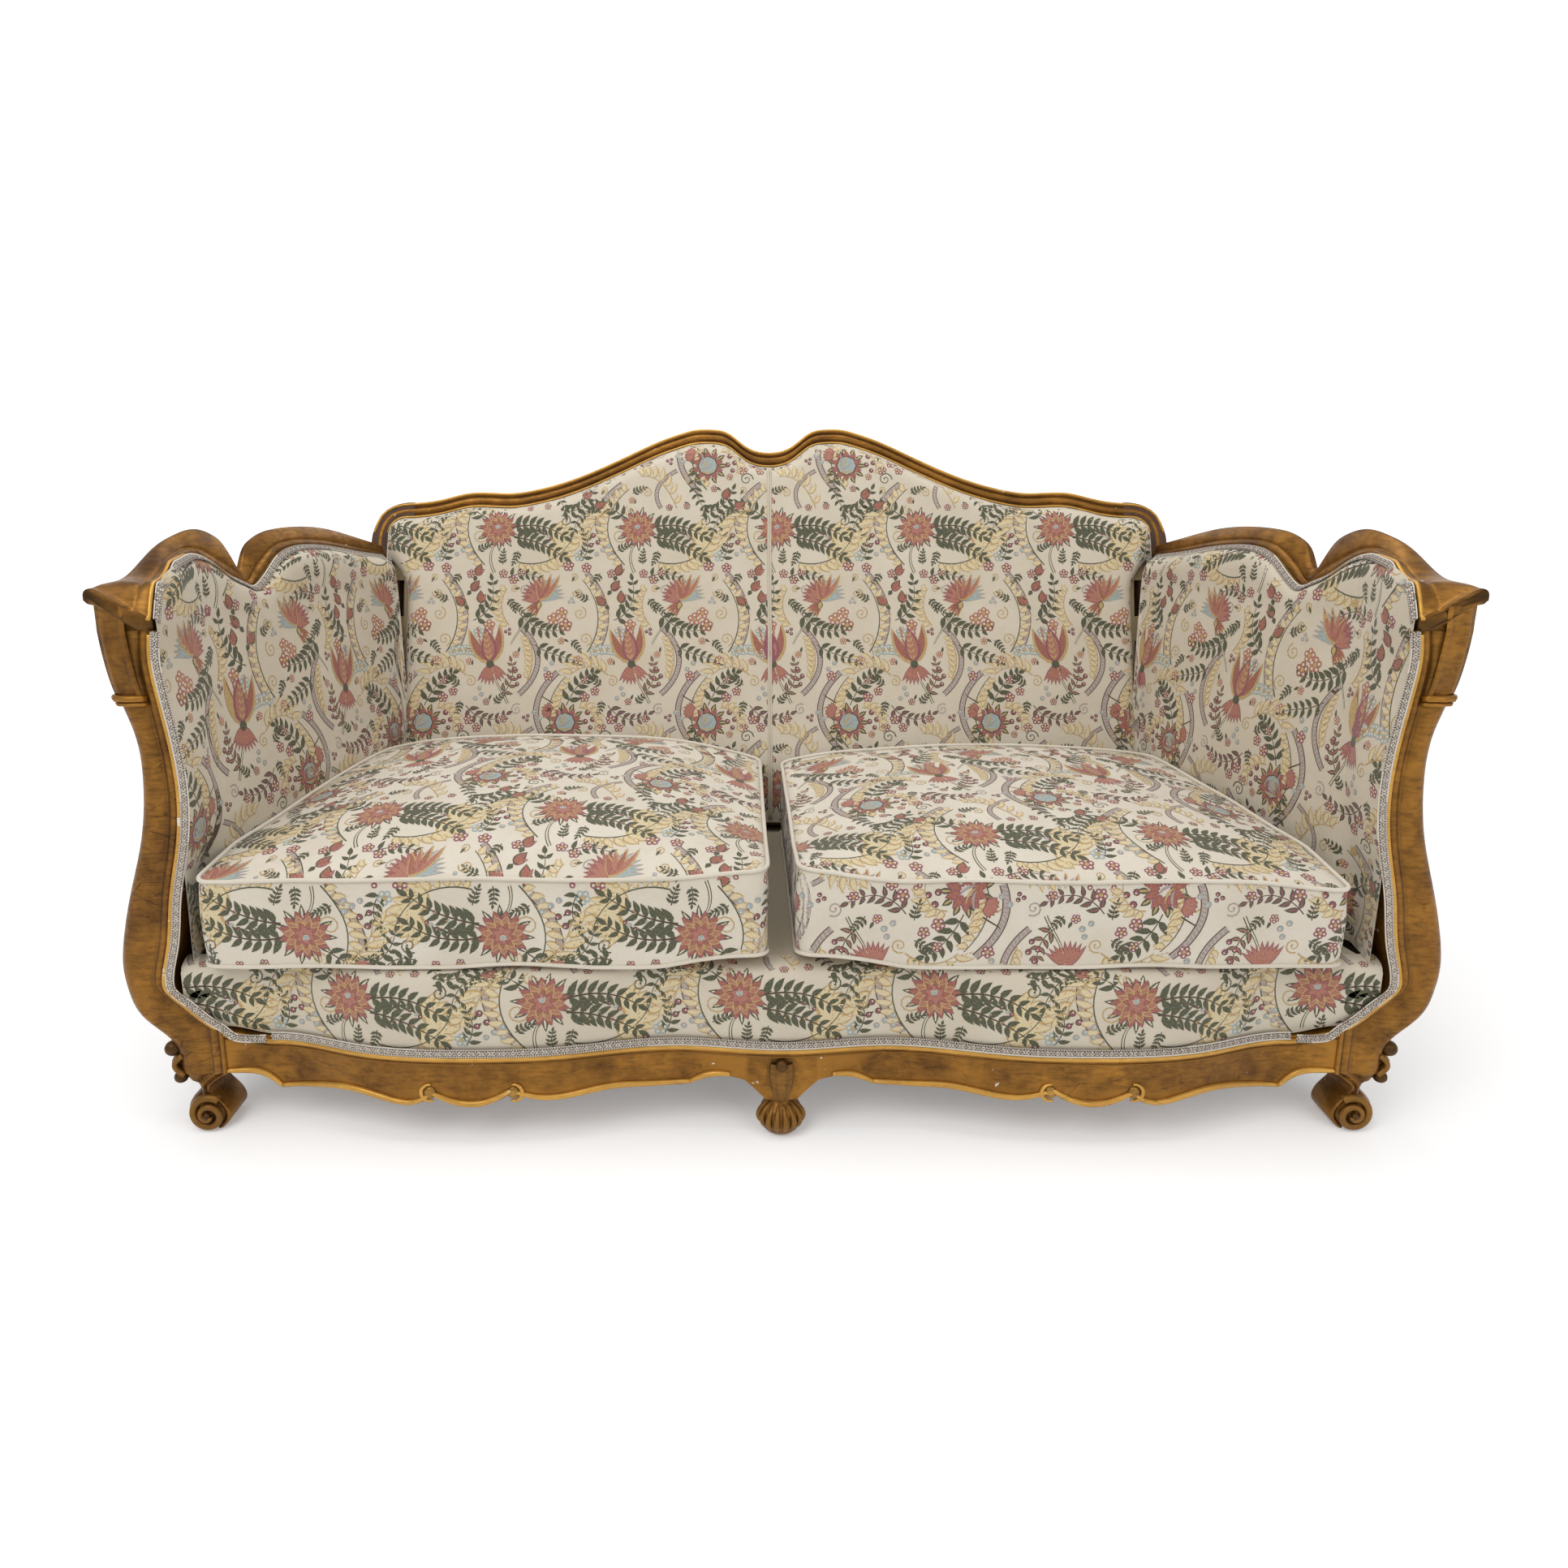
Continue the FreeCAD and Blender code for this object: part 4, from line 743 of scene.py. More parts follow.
    def fan(self, x, y, angle, size):
        for k in range(7):
            a = angle - 1.25 + 0.17 * k
            self.lobe(x, y, a, size * (0.72 + 0.02 * k), size * 0.13, "blue", "mauve", bend=-0.5, layer=3)
        for k in range(8):
            a = angle + 0.35 + 0.2 * k
            self.lobe(x, y, a, size * (0.74 - 0.03 * k), size * 0.17, ("red", "salmon")[k % 2], "wine",
                      bend=0.4, layer=2 + k % 2)
        for k in range(4):
            self.lobe(x, y, angle - 0.35 + 0.27 * k, size * (0.98 - 0.1 * k), size * 0.18,
                      ("salmon", "red")[k % 2], "gold", bend=0.6, layer=5)
        for k in range(5):
            self.lobe(x, y, angle + 2.3 + 0.2 * k, size * 0.5, size * 0.12, "red", "gold", layer=1)
        self.lobe(x, y, angle + math.pi, size * 0.26, size * 0.16, "gold", "green", layer=7)


def fill_bare(f):
    """Small sprigs, berries and scrolls in the places of the repeat that are still bare."""
    taken = np.array([(p[0] % TILE_WIDE, p[1] % TILE_HIGH) for p in f.points])
    draw = random.Random(11)
    for k in range(900):
        x, y = draw.uniform(0, TILE_WIDE), draw.uniform(0, TILE_HIGH)
        gap = np.abs(taken - (x, y))
        gap = np.minimum(gap, np.array((TILE_WIDE, TILE_HIGH)) - gap)
        if np.hypot(gap[:, 0], gap[:, 1]).min() < 9.5:
            continue
        a = draw.uniform(0, 2 * math.pi)
        kind = k % 4
        if kind == 0:
            tip = around(x, y, 22, a)
            f.spray([around(x, y, -4, a), around(x, y, 9, a + 0.2),
                     tip], 4, 12, 5)
        elif kind == 1:
            for j in range(3):
                f.berry(*around(x, y, 5, a + 2.1 * j), 3.6, "wine" if k % 8 < 4 else "blue")
        elif kind == 2:
            f.scroll(x, y, 8, a, thread="gold", half=0.9)
            f.leaf(x, y, a, 12, 5, "green", count=3)
        else:
            f.blossom(x, y, 7, "salmon" if k % 8 < 4 else "wine")
            f.leaf(x + 5, y + 4, a, 12, 5, "green", count=3)
        taken = np.array([(p[0] % TILE_WIDE, p[1] % TILE_HIGH) for p in f.points])


def woven_figure():
    f = Figure()
    # Ribbons and the gold plumes beside them
    f.ribbon(bezier((30, 14), (-26, 70), (-20, 126), (40, 168), 26), 6.0)
    f.ribbon(bezier((196, 150), (146, 196), (136, 252), (196, 306), 26), 6.0)
    f.ribbon(bezier((120, 262), (164, 300), (172, 352), (120, 396), 22), 5.4)
    f.ribbon(bezier((262, 330), (304, 392), (300, 452), (250, 506), 24), 5.4)
    f.ribbon(bezier((150, 196), (112, 176), (98, 150), (118, 118), 14), 4.2)
    f.plume(bezier((46, 2), (0, 52), (-4, 108), (54, 158)), 12, 30, 15, side=1)
    f.plume(bezier((210, 156), (172, 200), (166, 248), (212, 298)), 11, 28, 15, side=-1)
    f.plume(bezier((254, 346), (284, 392), (282, 446), (242, 492)), 10, 27, 15, side=-1)
    f.plume(bezier((112, 8), (160, -6), (214, 20), (224, 70)), 11, 30, 17, side=-1, lean=0.9)
    f.plume(bezier((16, 300), (-12, 322), (-36, 322), (-60, 300)), 6, 44, 13, side=-1, lean=0.6)
    f.plume(bezier((150, 118), (128, 172), (104, 188), (76, 184)), 7, 32, 13, side=-1)
    f.plume(bezier((136, 290), (150, 320), (150, 350), (132, 380)), 8, 22, 12, side=1)
    f.plume(bezier((24, 118), (-4, 108), (-24, 84), (-26, 52)), 5, 46, 17, side=-1, lean=0.45)
    f.plume(bezier((98, 400), (80, 420), (76, 450), (92, 474)), 7, 24, 13, side=1)
    f.plume(bezier((238, 236), (262, 236), (276, 216), (270, 190)), 6, 24, 14, side=1)
    # The dark feather beside the peony
    for points in (bezier((104, 58), (136, 56), (168, 44), (204, 18)),
                   bezier((100, 78), (136, 88), (172, 84), (204, 60))):
        f.spray(points, 8, 29, 11, spread=0.8, half=1.4, layer=4)
    heart_x, heart_y = 166, 46
    for k in range(13):
        a = -1.1 + 0.17 * k
        f.lobe(heart_x + 16 * math.cos(a), heart_y + 14 * math.sin(a), a, 48, 15, "straw", "gold", layer=1)
        for share in (0.45, 0.65):
            f.leaf(heart_x + (16 + 48 * share) * math.cos(a), heart_y + (14 + 48 * share) * math.sin(a),
                   a + 0.9, 7, 1.4, "gold", layer=3, count=2)
    f.spray(bezier((46, 96), (6, 140), (-42, 126), (-58, 70)), 11, 24, 8.5, half=0.9)
    f.spray(bezier((214, 240), (230, 278), (250, 296), (268, 304)), 6, 27, 11)
    f.spray(bezier((118, 424), (142, 396), (172, 382), (204, 392)), 7, 27, 11)
    f.spray(bezier((196, 116), (226, 102), (248, 124), (262, 156)), 6, 22, 9)
    f.spray(bezier((26, 410), (56, 420), (72, 452), (62, 490)), 6, 24, 10)
    f.spray(bezier((150, 360), (178, 340), (204, 340), (232, 326)), 6, 22, 9)
    f.spray(bezier((16, 240), (36, 212), (66, 204), (96, 222)), 6, 22, 9, vein="wine")
    f.spray(bezier((192, 200), (180, 168), (188, 138), (206, 118)), 6, 20, 8)
    f.spray(bezier((92, 496), (116, 508), (140, 506), (160, 492)), 5, 20, 8)
    f.spray(bezier((240, 10), (254, 28), (256, 50), (244, 68)), 5, 20, 8)
    f.spray(bezier((84, 262), (104, 276), (112, 300), (104, 326)), 5, 20, 8, thread="green", vein="salmon")
    # Stems
    for points, half in ((bezier((66, -14), (52, 12), (56, 36), (72, 52), 10), 3.0),
                         (bezier((98, 244), (86, 272), (70, 286), (66, 318), 10), 2.8),
                         (bezier((152, 438), (140, 412), (118, 396), (102, 362), 10), 2.6)):
        f.line(points, half, "green")
        f.line(points, half * 0.45, "pale", 2)
    f.line(bezier((206, 228), (190, 246), (176, 250), (160, 262), 10), 1.6, "dark")
    for x, y, radius, turn, side, thread in (
            (36, 62, 17, 0.4, -1, "gold"), (56, 112, 12, 2.0, 1, "gold"), (16, 138, 13, 4.0, -1, "mauve"),
            (178, 178, 14, 1.0, 1, "gold"), (172, 226, 13, 2.6, -1, "gold"), (250, 372, 14, 5.0, 1, "gold"),
            (238, 424, 14, 1.2, -1, "gold"), (234, 466, 11, 3.0, 1, "gold"), (10, 178, 14, 0.0, 1, "green"),
            (206, 92, 13, 2.2, -1, "green"), (116, 232, 12, 1.0, 1, "mauve"), (24, 288, 12, 2.0, -1, "gold"),
            (128, 470, 12, 0.0, 1, "mauve"), (90, 150, 12, 3.4, -1, "gold")):
        f.scroll(x, y, radius, turn, side=side, thread=thread, half=1.1)
    for x, y, r in ((256, 226, 5.6), (266, 212, 5.2), (252, 208, 5.4), (262, 196, 4.8), (110, 312, 5.4),
                    (120, 298, 5.0), (106, 294, 5.2), (116, 282, 4.6), (262, 62, 5.4), (272, 48, 5.2),
                    (258, 42, 5.0), (150, 74, 4.0), (164, 66, 3.6), (178, 56, 3.4), (138, 70, 3.6)):
        f.berry(x, y, r, "wine")
    for x, y, r in ((14, 40, 5.4), (2, 32, 5.2), (14, 24, 5.0), (-10, 24, 4.8), (150, 226, 5.0),
                    (162, 214, 4.8), (46, 262, 5.0), (34, 254, 4.8), (172, 312, 5.0), (184, 324, 5.0),
                    (42, 274, 4.6), (158, 70, 3.4), (172, 60, 3.2)):
        f.berry(x, y, r, "blue")
    for x, y, r, thread in (
            (214, 0, 11, "wine"), (236, 20, 11, "blue"), (250, -4, 10, "wine"), (22, 212, 10, "wine"),
            (4, 196, 9, "wine"), (38, 196, 9, "wine"), (104, 492, 9, "wine"), (84, 504, 9, "wine"),
            (120, 506, 8, "wine"), (186, 412, 13, "salmon"), (210, 400, 13, "red"),
            (202, 424, 12, "salmon"), (178, 298, 10, "wine"), (58, 400, 12, "salmon"),
            (38, 386, 11, "blue"), (250, 256, 10, "wine"), (270, 268, 9, "wine"), (136, 44, 5, "red"),
            (150, 54, 4, "blue"), (164, 42, 5, "red"), (250, 290, 8, "wine"), (90, 214, 8, "wine"),
            (236, 330, 9, "salmon"), (20, 504, 9, "wine")):
        f.blossom(x, y, r, thread)
    f.peony(72, 76, 41, 0.2)
    f.shell(212, 206, 62)
    f.tulip(62, 322, 1.75, 88)
    f.fan(158, 448, 1.35, 70)
    for x, y, a in ((20, 470, 0.9), (40, 444, 1.6), (8, 440, 2.4),
                    (244, 136, 1.2), (264, 120, 0.4), (30, 500, 1.2)):
        f.lobe(x, y, a, 27, 17, "red", "green", layer=3)
        f.lobe(x, y, a - 0.5, 22, 10, "salmon", "wine", layer=2)
        f.leaf(x, y, a + math.pi, 12, 9, "green", layer=4, count=3)
    fill_bare(f)
    return f


FIGURE_TILE = woven_figure()


def crossed(p, q):
    return p[:, 0] * q[:, 1] - q[:, 0] * p[:, 1]


def weave_figure(panel, name, origin, body="frame"):
    """Lays the figure on a panel by its cloth coordinates, as its own thin threads."""
    mesh = panel.data
    mesh.calc_loop_triangles()
    count = len(mesh.loop_triangles)
    loops = np.zeros(count * 3, dtype=np.int32)
    mesh.loop_triangles.foreach_get("loops", loops)
    corner = np.zeros(count * 3, dtype=np.int32)
    mesh.loop_triangles.foreach_get("vertices", corner)
    flat = np.zeros(len(mesh.loops) * 2)
    mesh.uv_layers["cloth"].data.foreach_get("uv", flat)
    flat = flat.reshape(-1, 2)[loops].reshape(-1, 3, 2) * 1000
    place = np.zeros(len(mesh.vertices) * 3)
    mesh.vertices.foreach_get("co", place)
    place = place.reshape(-1, 3)
    normal = np.array([tuple(v.normal) for v in mesh.vertices])
    area = ((flat[:, 1, 0] - flat[:, 0, 0]) * (flat[:, 2, 1] - flat[:, 0, 1])
            - (flat[:, 2, 0] - flat[:, 0, 0]) * (flat[:, 1, 1] - flat[:, 0, 1]))
    good = np.abs(area) > 1e-3
    flat, corner = flat[good], corner.reshape(-1, 3)[good]
    tree = BVHTree.FromPolygons([(p[0], p[1], 0.0) for tri in flat for p in tri],
                                [(3 * i, 3 * i + 1, 3 * i + 2) for i in range(len(flat))])
    low_uv, high_uv = flat.reshape(-1, 2).min(0), flat.reshape(-1, 2).max(0)
    tile = np.array([(x, y) for x, y, _ in FIGURE_TILE.points])
    lifts = np.array([p[2] for p in FIGURE_TILE.points])
    points, faces, threads, uvs = [], [], [], []
    span = (TILE_WIDE, TILE_HIGH)
    first = [int(math.floor((low_uv[k] - origin[k]) / span[k])) - 1 for k in (0, 1)]
    last = [int(math.ceil((high_uv[k] - origin[k]) / span[k])) + 1 for k in (0, 1)]
    down = Vector((0, 0, -1))
    for column in range(first[0], last[0] + 1):
        for row in range(first[1], last[1] + 1):
            spots = tile + (origin[0] + column * span[0], origin[1] + row * span[1])
            inside = ((spots > low_uv) & (spots < high_uv)).all(1)
            if not inside.any():
                continue
            chosen, hits = [], []
            for index in np.nonzero(inside)[0]:
                hit = tree.ray_cast(Vector((spots[index, 0], spots[index, 1], 1)), down)[2]
                if hit is not None:
                    chosen.append(index)
                    hits.append(hit)
            if not hits:
                continue
            chosen, hits = np.array(chosen), np.array(hits)
            made = {index: len(points) + k for k, index in enumerate(chosen.tolist())}
            a, b, c = flat[hits, 0], flat[hits, 1], flat[hits, 2]
            spot = spots[chosen]
            whole = crossed(b - a, c - a)
            s = crossed(spot - a, c - a) / whole
            t = crossed(b - a, spot - a) / whole
            weights = np.stack([1 - s - t, s, t], axis=1)[:, :, None]
            where = (place[corner[hits]] * weights).sum(1)
            up = (normal[corner[hits]] * weights).sum(1)
            up /= np.linalg.norm(up, axis=1)[:, None] + 1e-9
            points += [tuple(p) for p in where + up * lifts[chosen][:, None] * 0.001]
            uvs += [tuple(p) for p in spot / 1000]
            for face, thread in zip(FIGURE_TILE.faces, FIGURE_TILE.threads):
                if all(index in made for index in face):
                    faces.append([made[index] for index in face])
                    threads.append(thread)
    woven = bpy.data.meshes.new(name)
    woven.from_pydata(points, [], faces)
    layer = woven.uv_layers.new(name="cloth")
    corners = np.zeros(len(woven.loops), dtype=np.int32)
    woven.loops.foreach_get("vertex_index", corners)
    layer.data.foreach_set("uv", np.array(uvs)[corners].ravel())
    for material in THREADS:
        woven.materials.append(material)
    woven.polygons.foreach_set("material_index", threads)
    woven.update()
    obj = bpy.data.objects.new(name, woven)
    bpy.context.scene.collection.objects.link(obj)
    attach(obj, body)


# Back pad

def pad_half(v):
    return 727 + 45 * smooth((v - 330) / 110)


def back_pad():
    shape = Shape()
    rows, uvs = [], []
    columns, lines = 150, 70
    bottom = slope_v(DECK_TOP) + 12
    for r in range(lines + 1):
        t = r / lines
        row, flat = [], []
        for c in range(columns + 1):
            s = -1 + 2 * c / columns
            half = pad_half(bottom + t * (JOINT_V - SHOW - bottom))
            u = s * half
            top = crest(max(-CREST_HALF, min(CREST_HALF, u))) - SHOW - 0.5
            if abs(u) > 740:
                top -= 40 * (1 - math.sqrt(max(0, 1 - ((abs(u) - 740) / 33) ** 2)))
            v = bottom + t * (top - bottom)
            gap = min(half - abs(u), (top - v), 60)
            puff = math.sqrt(max(0.0, 1 - (1 - min(gap / 30, 1)) ** 2))
            w = 3 + 20.5 * puff
            w -= 1.6 * math.exp(-(u / 5) ** 2)
            w += 1.2 * noise.noise(Vector((u / 150, v / 120, 3.0))) * puff - 0.9 * puff
            row.append(on_back(u, v, w))
            flat.append((u, v))
        rows.append(row)
        uvs.append(flat)
    shape.grid(rows, uvs)
    pad = shape.piece("back_pad_cover", [CREAM], slot="damask", replaces=("back_pad",))
    weave_figure(pad, "back_pad_figure", (-56, -140))
    seam = Shape()
    height = crest(0) - SHOW - 12 - bottom
    for x, radius in ((-2.6, 1.7), (2.6, 1.7), (0, 1.1)):
        path = [on_back(x + 0.5 * noise.noise(Vector((i * 0.4, x, 0))), bottom + 6 + height * i / 60, 22.4)
                for i in range(61)]
        seam.tube(path, radius, 6)
    seam.piece("back_centre_seam", [CREAM], slot="damask", replaces=("back_seam",))


# Arm pads

def arm_pad(side):
    shape = Shape()
    ys = [2 + 8 * i for i in range(90)]
    rows, uvs = [], []
    for y in ys:
        edge = arm_edge(y) - 2 if y < ARM_LENGTH else arm_edge(ARM_LENGTH)
        low_z = DECK_TOP + 1
        row, flat = [], []
        for r in range(61):
            t = r / 60
            z = low_z + t * (edge - low_z)
            line = pad_inner(y, min(z, JOINT_Z)) if z <= JOINT_Z else pad_inner(y, JOINT_Z)
            brim = arm_inner(y) - 4
            head = edge - z
            if head < 40:
                roll = 1 - math.sqrt(max(0, 1 - (1 - head / 40) ** 2))
                line = line + (brim - line) * roll
            x = min(line, arm_inner(y) - 3)
            x -= 1.5 * noise.noise(Vector((y / 130, z / 110, side))) * min(1, head / 60)
            row.append((x, min(y, back_y(z, 14)), z))
            flat.append((y, z))
        rows.append(row)
        uvs.append(flat)
    shape.grid(rows, uvs)
    made = shape.sided(side)
    word = WORD[side]
    pad = made.piece("arm_pad_cover_" + word, [CREAM], slot="damask", replaces=("arm_pad_" + word,))
    weave_figure(pad, "arm_figure_" + word, (30, 250))


# Deck border and deck

def deck():
    shape = Shape()
    rows, uvs = [], []
    xs = [-868 + 1736 * i / 240 for i in range(241)]
    for r in range(32):
        row, flat = [], []
        for x in xs:
            bottom = RAIL_TOP + 1
            if abs(x) > 745:
                bottom = RAIL_TOP + 18 * smooth((abs(x) - 745) / 70) + 1
            if abs(x) > 815:
                bottom = 163 + (abs(x) - 815) * 0.9
            t = min(r / 30, 1)
            if t < 0.8:
                z = bottom + (DECK_TOP - 14 - bottom) * t / 0.8
                forward = 4.5 * math.sin(math.pi * min(1, t / 0.8)) ** 0.7
                depth = 0.0
            else:
                a = (t - 0.8) / 0.2 * math.pi / 2
                z = DECK_TOP - 14 + 14 * math.sin(a)
                depth = 26 * (1 - math.cos(a))
                forward = 0
            y = bow(x) + 3.5 - forward + depth
            if abs(x) > 800:
                y = max(y, 5)
            if r == 31:
                depth += max(0, 30.2 - y)
                y = max(y, 30.2)
            row.append((x, y, z))
            flat.append((x, z + depth))
        rows.append(row)
        uvs.append(flat)
    shape.grid(rows, uvs)
    border = shape.piece("deck_border_cover", [CREAM], slot="damask", replaces=("deck_border",))
    weave_figure(border, "deck_border_figure", (-132, 146))
    top = Shape()
    rows = []
    for i in range(41):
        t = i / 40
        y = 30 + (back_y(DECK_TOP, 6) - 30) * t
        half = min(pad_line(max(y, 0), DECK_TOP), 868)
        z = DECK_TOP - 0.6 - 2 * math.sin(math.pi * t)
        rows.append([(half * (2 * k / 40 - 1), y, z) for k in range(41)])
    top.grid(rows)
    pad = top.piece("seat_deck_cover", [CALICO], slot="calico", replaces=("seat_deck_pad",))


# Loose cushions

def cushion_plan(outer, inner, sign):
    turn = min(outer, pad_line(112, 0) - 1)
    rear = back_y(340, 28)
    rear_x = min(pad_line(rear, 0) - 1, turn)
    return [(sign * inner, -20), (sign * outer, -20), (sign * turn, 112), (sign * rear_x, rear),
            (sign * inner, rear)]


def loop_points(corners, radius, spacing=14):
    """A closed loop round the corners, with round turns."""
    out = []
    count = len(corners)
    for i in range(count):
        p, q, r = (np.array(corners[(i + k) % count], float) for k in (-1, 0, 1))
        before = (p - q) / np.linalg.norm(p - q)
        after = (r - q) / np.linalg.norm(r - q)
        bend = math.acos(max(-1, min(1, float(np.dot(before, after)))))
        reach = min(radius / math.tan(bend / 2), 60)
        a, b = q + before * reach, q + after * reach
        for k in range(7):
            t = k / 6
            out.append(tuple((1 - t) ** 2 * a + 2 * t * (1 - t) * q + t * t * b))
        nxt = corners[(i + 2) % count]
        ahead = (np.array(nxt, float) - r)
        ahead = ahead / np.linalg.norm(ahead)
        turn = math.acos(max(-1, min(1, float(np.dot(-after, ahead)))))
        end = r - after * min(radius / math.tan(turn / 2), 60)
        steps = max(1, int(np.linalg.norm(end - b) / spacing))
        for k in range(1, steps):
            out.append(tuple(b + (end - b) * k / steps))
    return out


CUSHION_BORDER = 133.0
SEAM_INSET = 4.7
CROWN_ALONG = Spline([(0.0, 0.0), (0.12, 0.5), (0.35, 0.90), (0.62, 1.0), (0.86, 0.97), (1.0, 0.8)])
CROWN_ACROSS = Spline([(0.0, 0.12), (0.14, 0.62), (0.36, 0.96), (0.64, 0.96), (0.86, 0.62), (1.0, 0.12)])


def cushion(side, outer, inner, sign, crown, origins, seed, bloom, flower):
    body = "cushion_" + side
    base, border = DECK_TOP + 1.5, CUSHION_BORDER
    plan = loop_points(cushion_plan(outer, inner, sign), 26)
    if sign < 0:
        plan = plan[::-1]
    middle = np.mean(np.array(plan), axis=0)
    places = [0.0]
    for a, b in zip(plan, plan[1:] + plan[:1]):
        places.append(places[-1] + math.dist(a, b))

    front = [(abs(p[0] - bloom[0]), place) for p, place in zip(plan, places) if p[1] < -10]
    start = origins[0] + flower[0] + min(front)[1]

    def outward(x, y):
        return unit(np.array((x, y)) - middle)

    def wave(x, y, scale, k):
        return noise.noise(Vector((x / scale, y / scale, seed + k)))

    def lean(y, z):
        return min(y, back_y(z, 28.2))

    def crowned(x, y):
        along = CROWN_ALONG(min(max((y + 20) / (back_y(340, 28) + 20), 0), 1))
        across = CROWN_ACROSS(min(max((abs(x) - inner) / (outer - inner), 0), 1))
        return base + border - 3 + (crown - 2) * along * across

    def edge_z(x, y, high):
        z = crowned(x, y) if high else base
        if high:
            front = smooth((140 - y) / 160)
            end = smooth((abs(x) - outer + 160) / 160)
            level, droop, lift = (3, 2.4, 14) if side == "left" else (0, 12, 20)
            z += 4 * wave(x, y, 170, 1) + level - droop * front * end
            z += lift * front * (1 - smooth((abs(x) - inner) / 170))
        else:
            front = smooth((60 - y) / 80)
            z += front * (9 * max(0, wave(x, y, 150, 2) + 0.15) + 18 * (1 - smooth((abs(x) - inner) / 190)))
        return z

    shape = Shape()
    lines = 22
    rows, uvs = [], []
    for r in range(lines + 1):
        t = r / lines
        row, flat = [], []
        for i, (x, y) in enumerate(plan):
            out = outward(x, y)
            low_z, high_z = edge_z(x, y, False), edge_z(x, y, True)
            z = low_z + t * (high_z - low_z)
            bulge = 3.0 * math.sin(math.pi * t) ** 0.8 - SEAM_INSET
            crease = 2.2 * wave(x + 90 * t, y + 60 * t, 60, 3) + 1.3 * wave(x - 40 * t, y, 28, 4)
            bulge += crease * math.sin(math.pi * t)
            row.append((x + out[0] * bulge, lean(y + out[1] * bulge, z), z))
            flat.append((start - places[i], 6 * TILE_HIGH + origins[1] + flower[1] + base + bloom[1] - z))
        rows.append(row + row[:1])
        uvs.append(flat + [(start - places[-1], flat[0][1])])
    shape.grid(rows, uvs)
    rings = 26
    for high in (True, False):
        rows, uvs = [], []
        for r in range(rings + 1):
            t = r / rings
            row, flat = [], []
            for i, (x, y) in enumerate(plan):
                out = outward(x, y)
                px = x + (middle[0] - x) * t
                py = y + (middle[1] - y) * t
                if high:
                    rim = edge_z(x, y, True)
                    dome = 1 - (1 - t) ** 2.6
                    z = crowned(px, py) + (rim - crowned(x, y)) * (1 - dome)
                    z += (3.5 * wave(px, py, 190, 5) * min(1, 4 * t)
                          + 1.2 * wave(px, py, 60, 6) * min(1, 6 * t))
                else:
                    z = edge_z(x, y, False) * (1 - smooth(3 * t)) + base * smooth(3 * t)
                    px += (middle[0] - x) * 0.005
                px -= out[0] * SEAM_INSET * (1 - t)
                py = lean(py - out[1] * SEAM_INSET * (1 - t), z)
                row.append((px, py, z))
                flat.append((px + (0 if high else 6000), py))
            rows.append(row + row[:1])
            uvs.append(flat + flat[:1])
        shape.grid(rows, uvs, flip=not high)
    made = shape.piece(body + "_cover", [CUSHION_CREAM], body=body, slot="damask", merge=0.0001,
                       replaces=(body,))
    weave_figure(made, body + "_figure", origins, body)
    piping = Shape()
    for high in (True, False):
        path = []
        for x, y in plan:
            out = outward(x, y)
            z = edge_z(x, y, high) + (1.5 if high else 2.2)
            path.append((x - out[0] * 3.6, lean(y - out[1] * 3.6, z), z))
        piping.tube(path, 3.1, 8, closed=True)
    piping.piece(body + "_welt", [CUSHION_CREAM], body=body, slot="damask",
                 replaces=(body + "_piping",))


# Carved posts

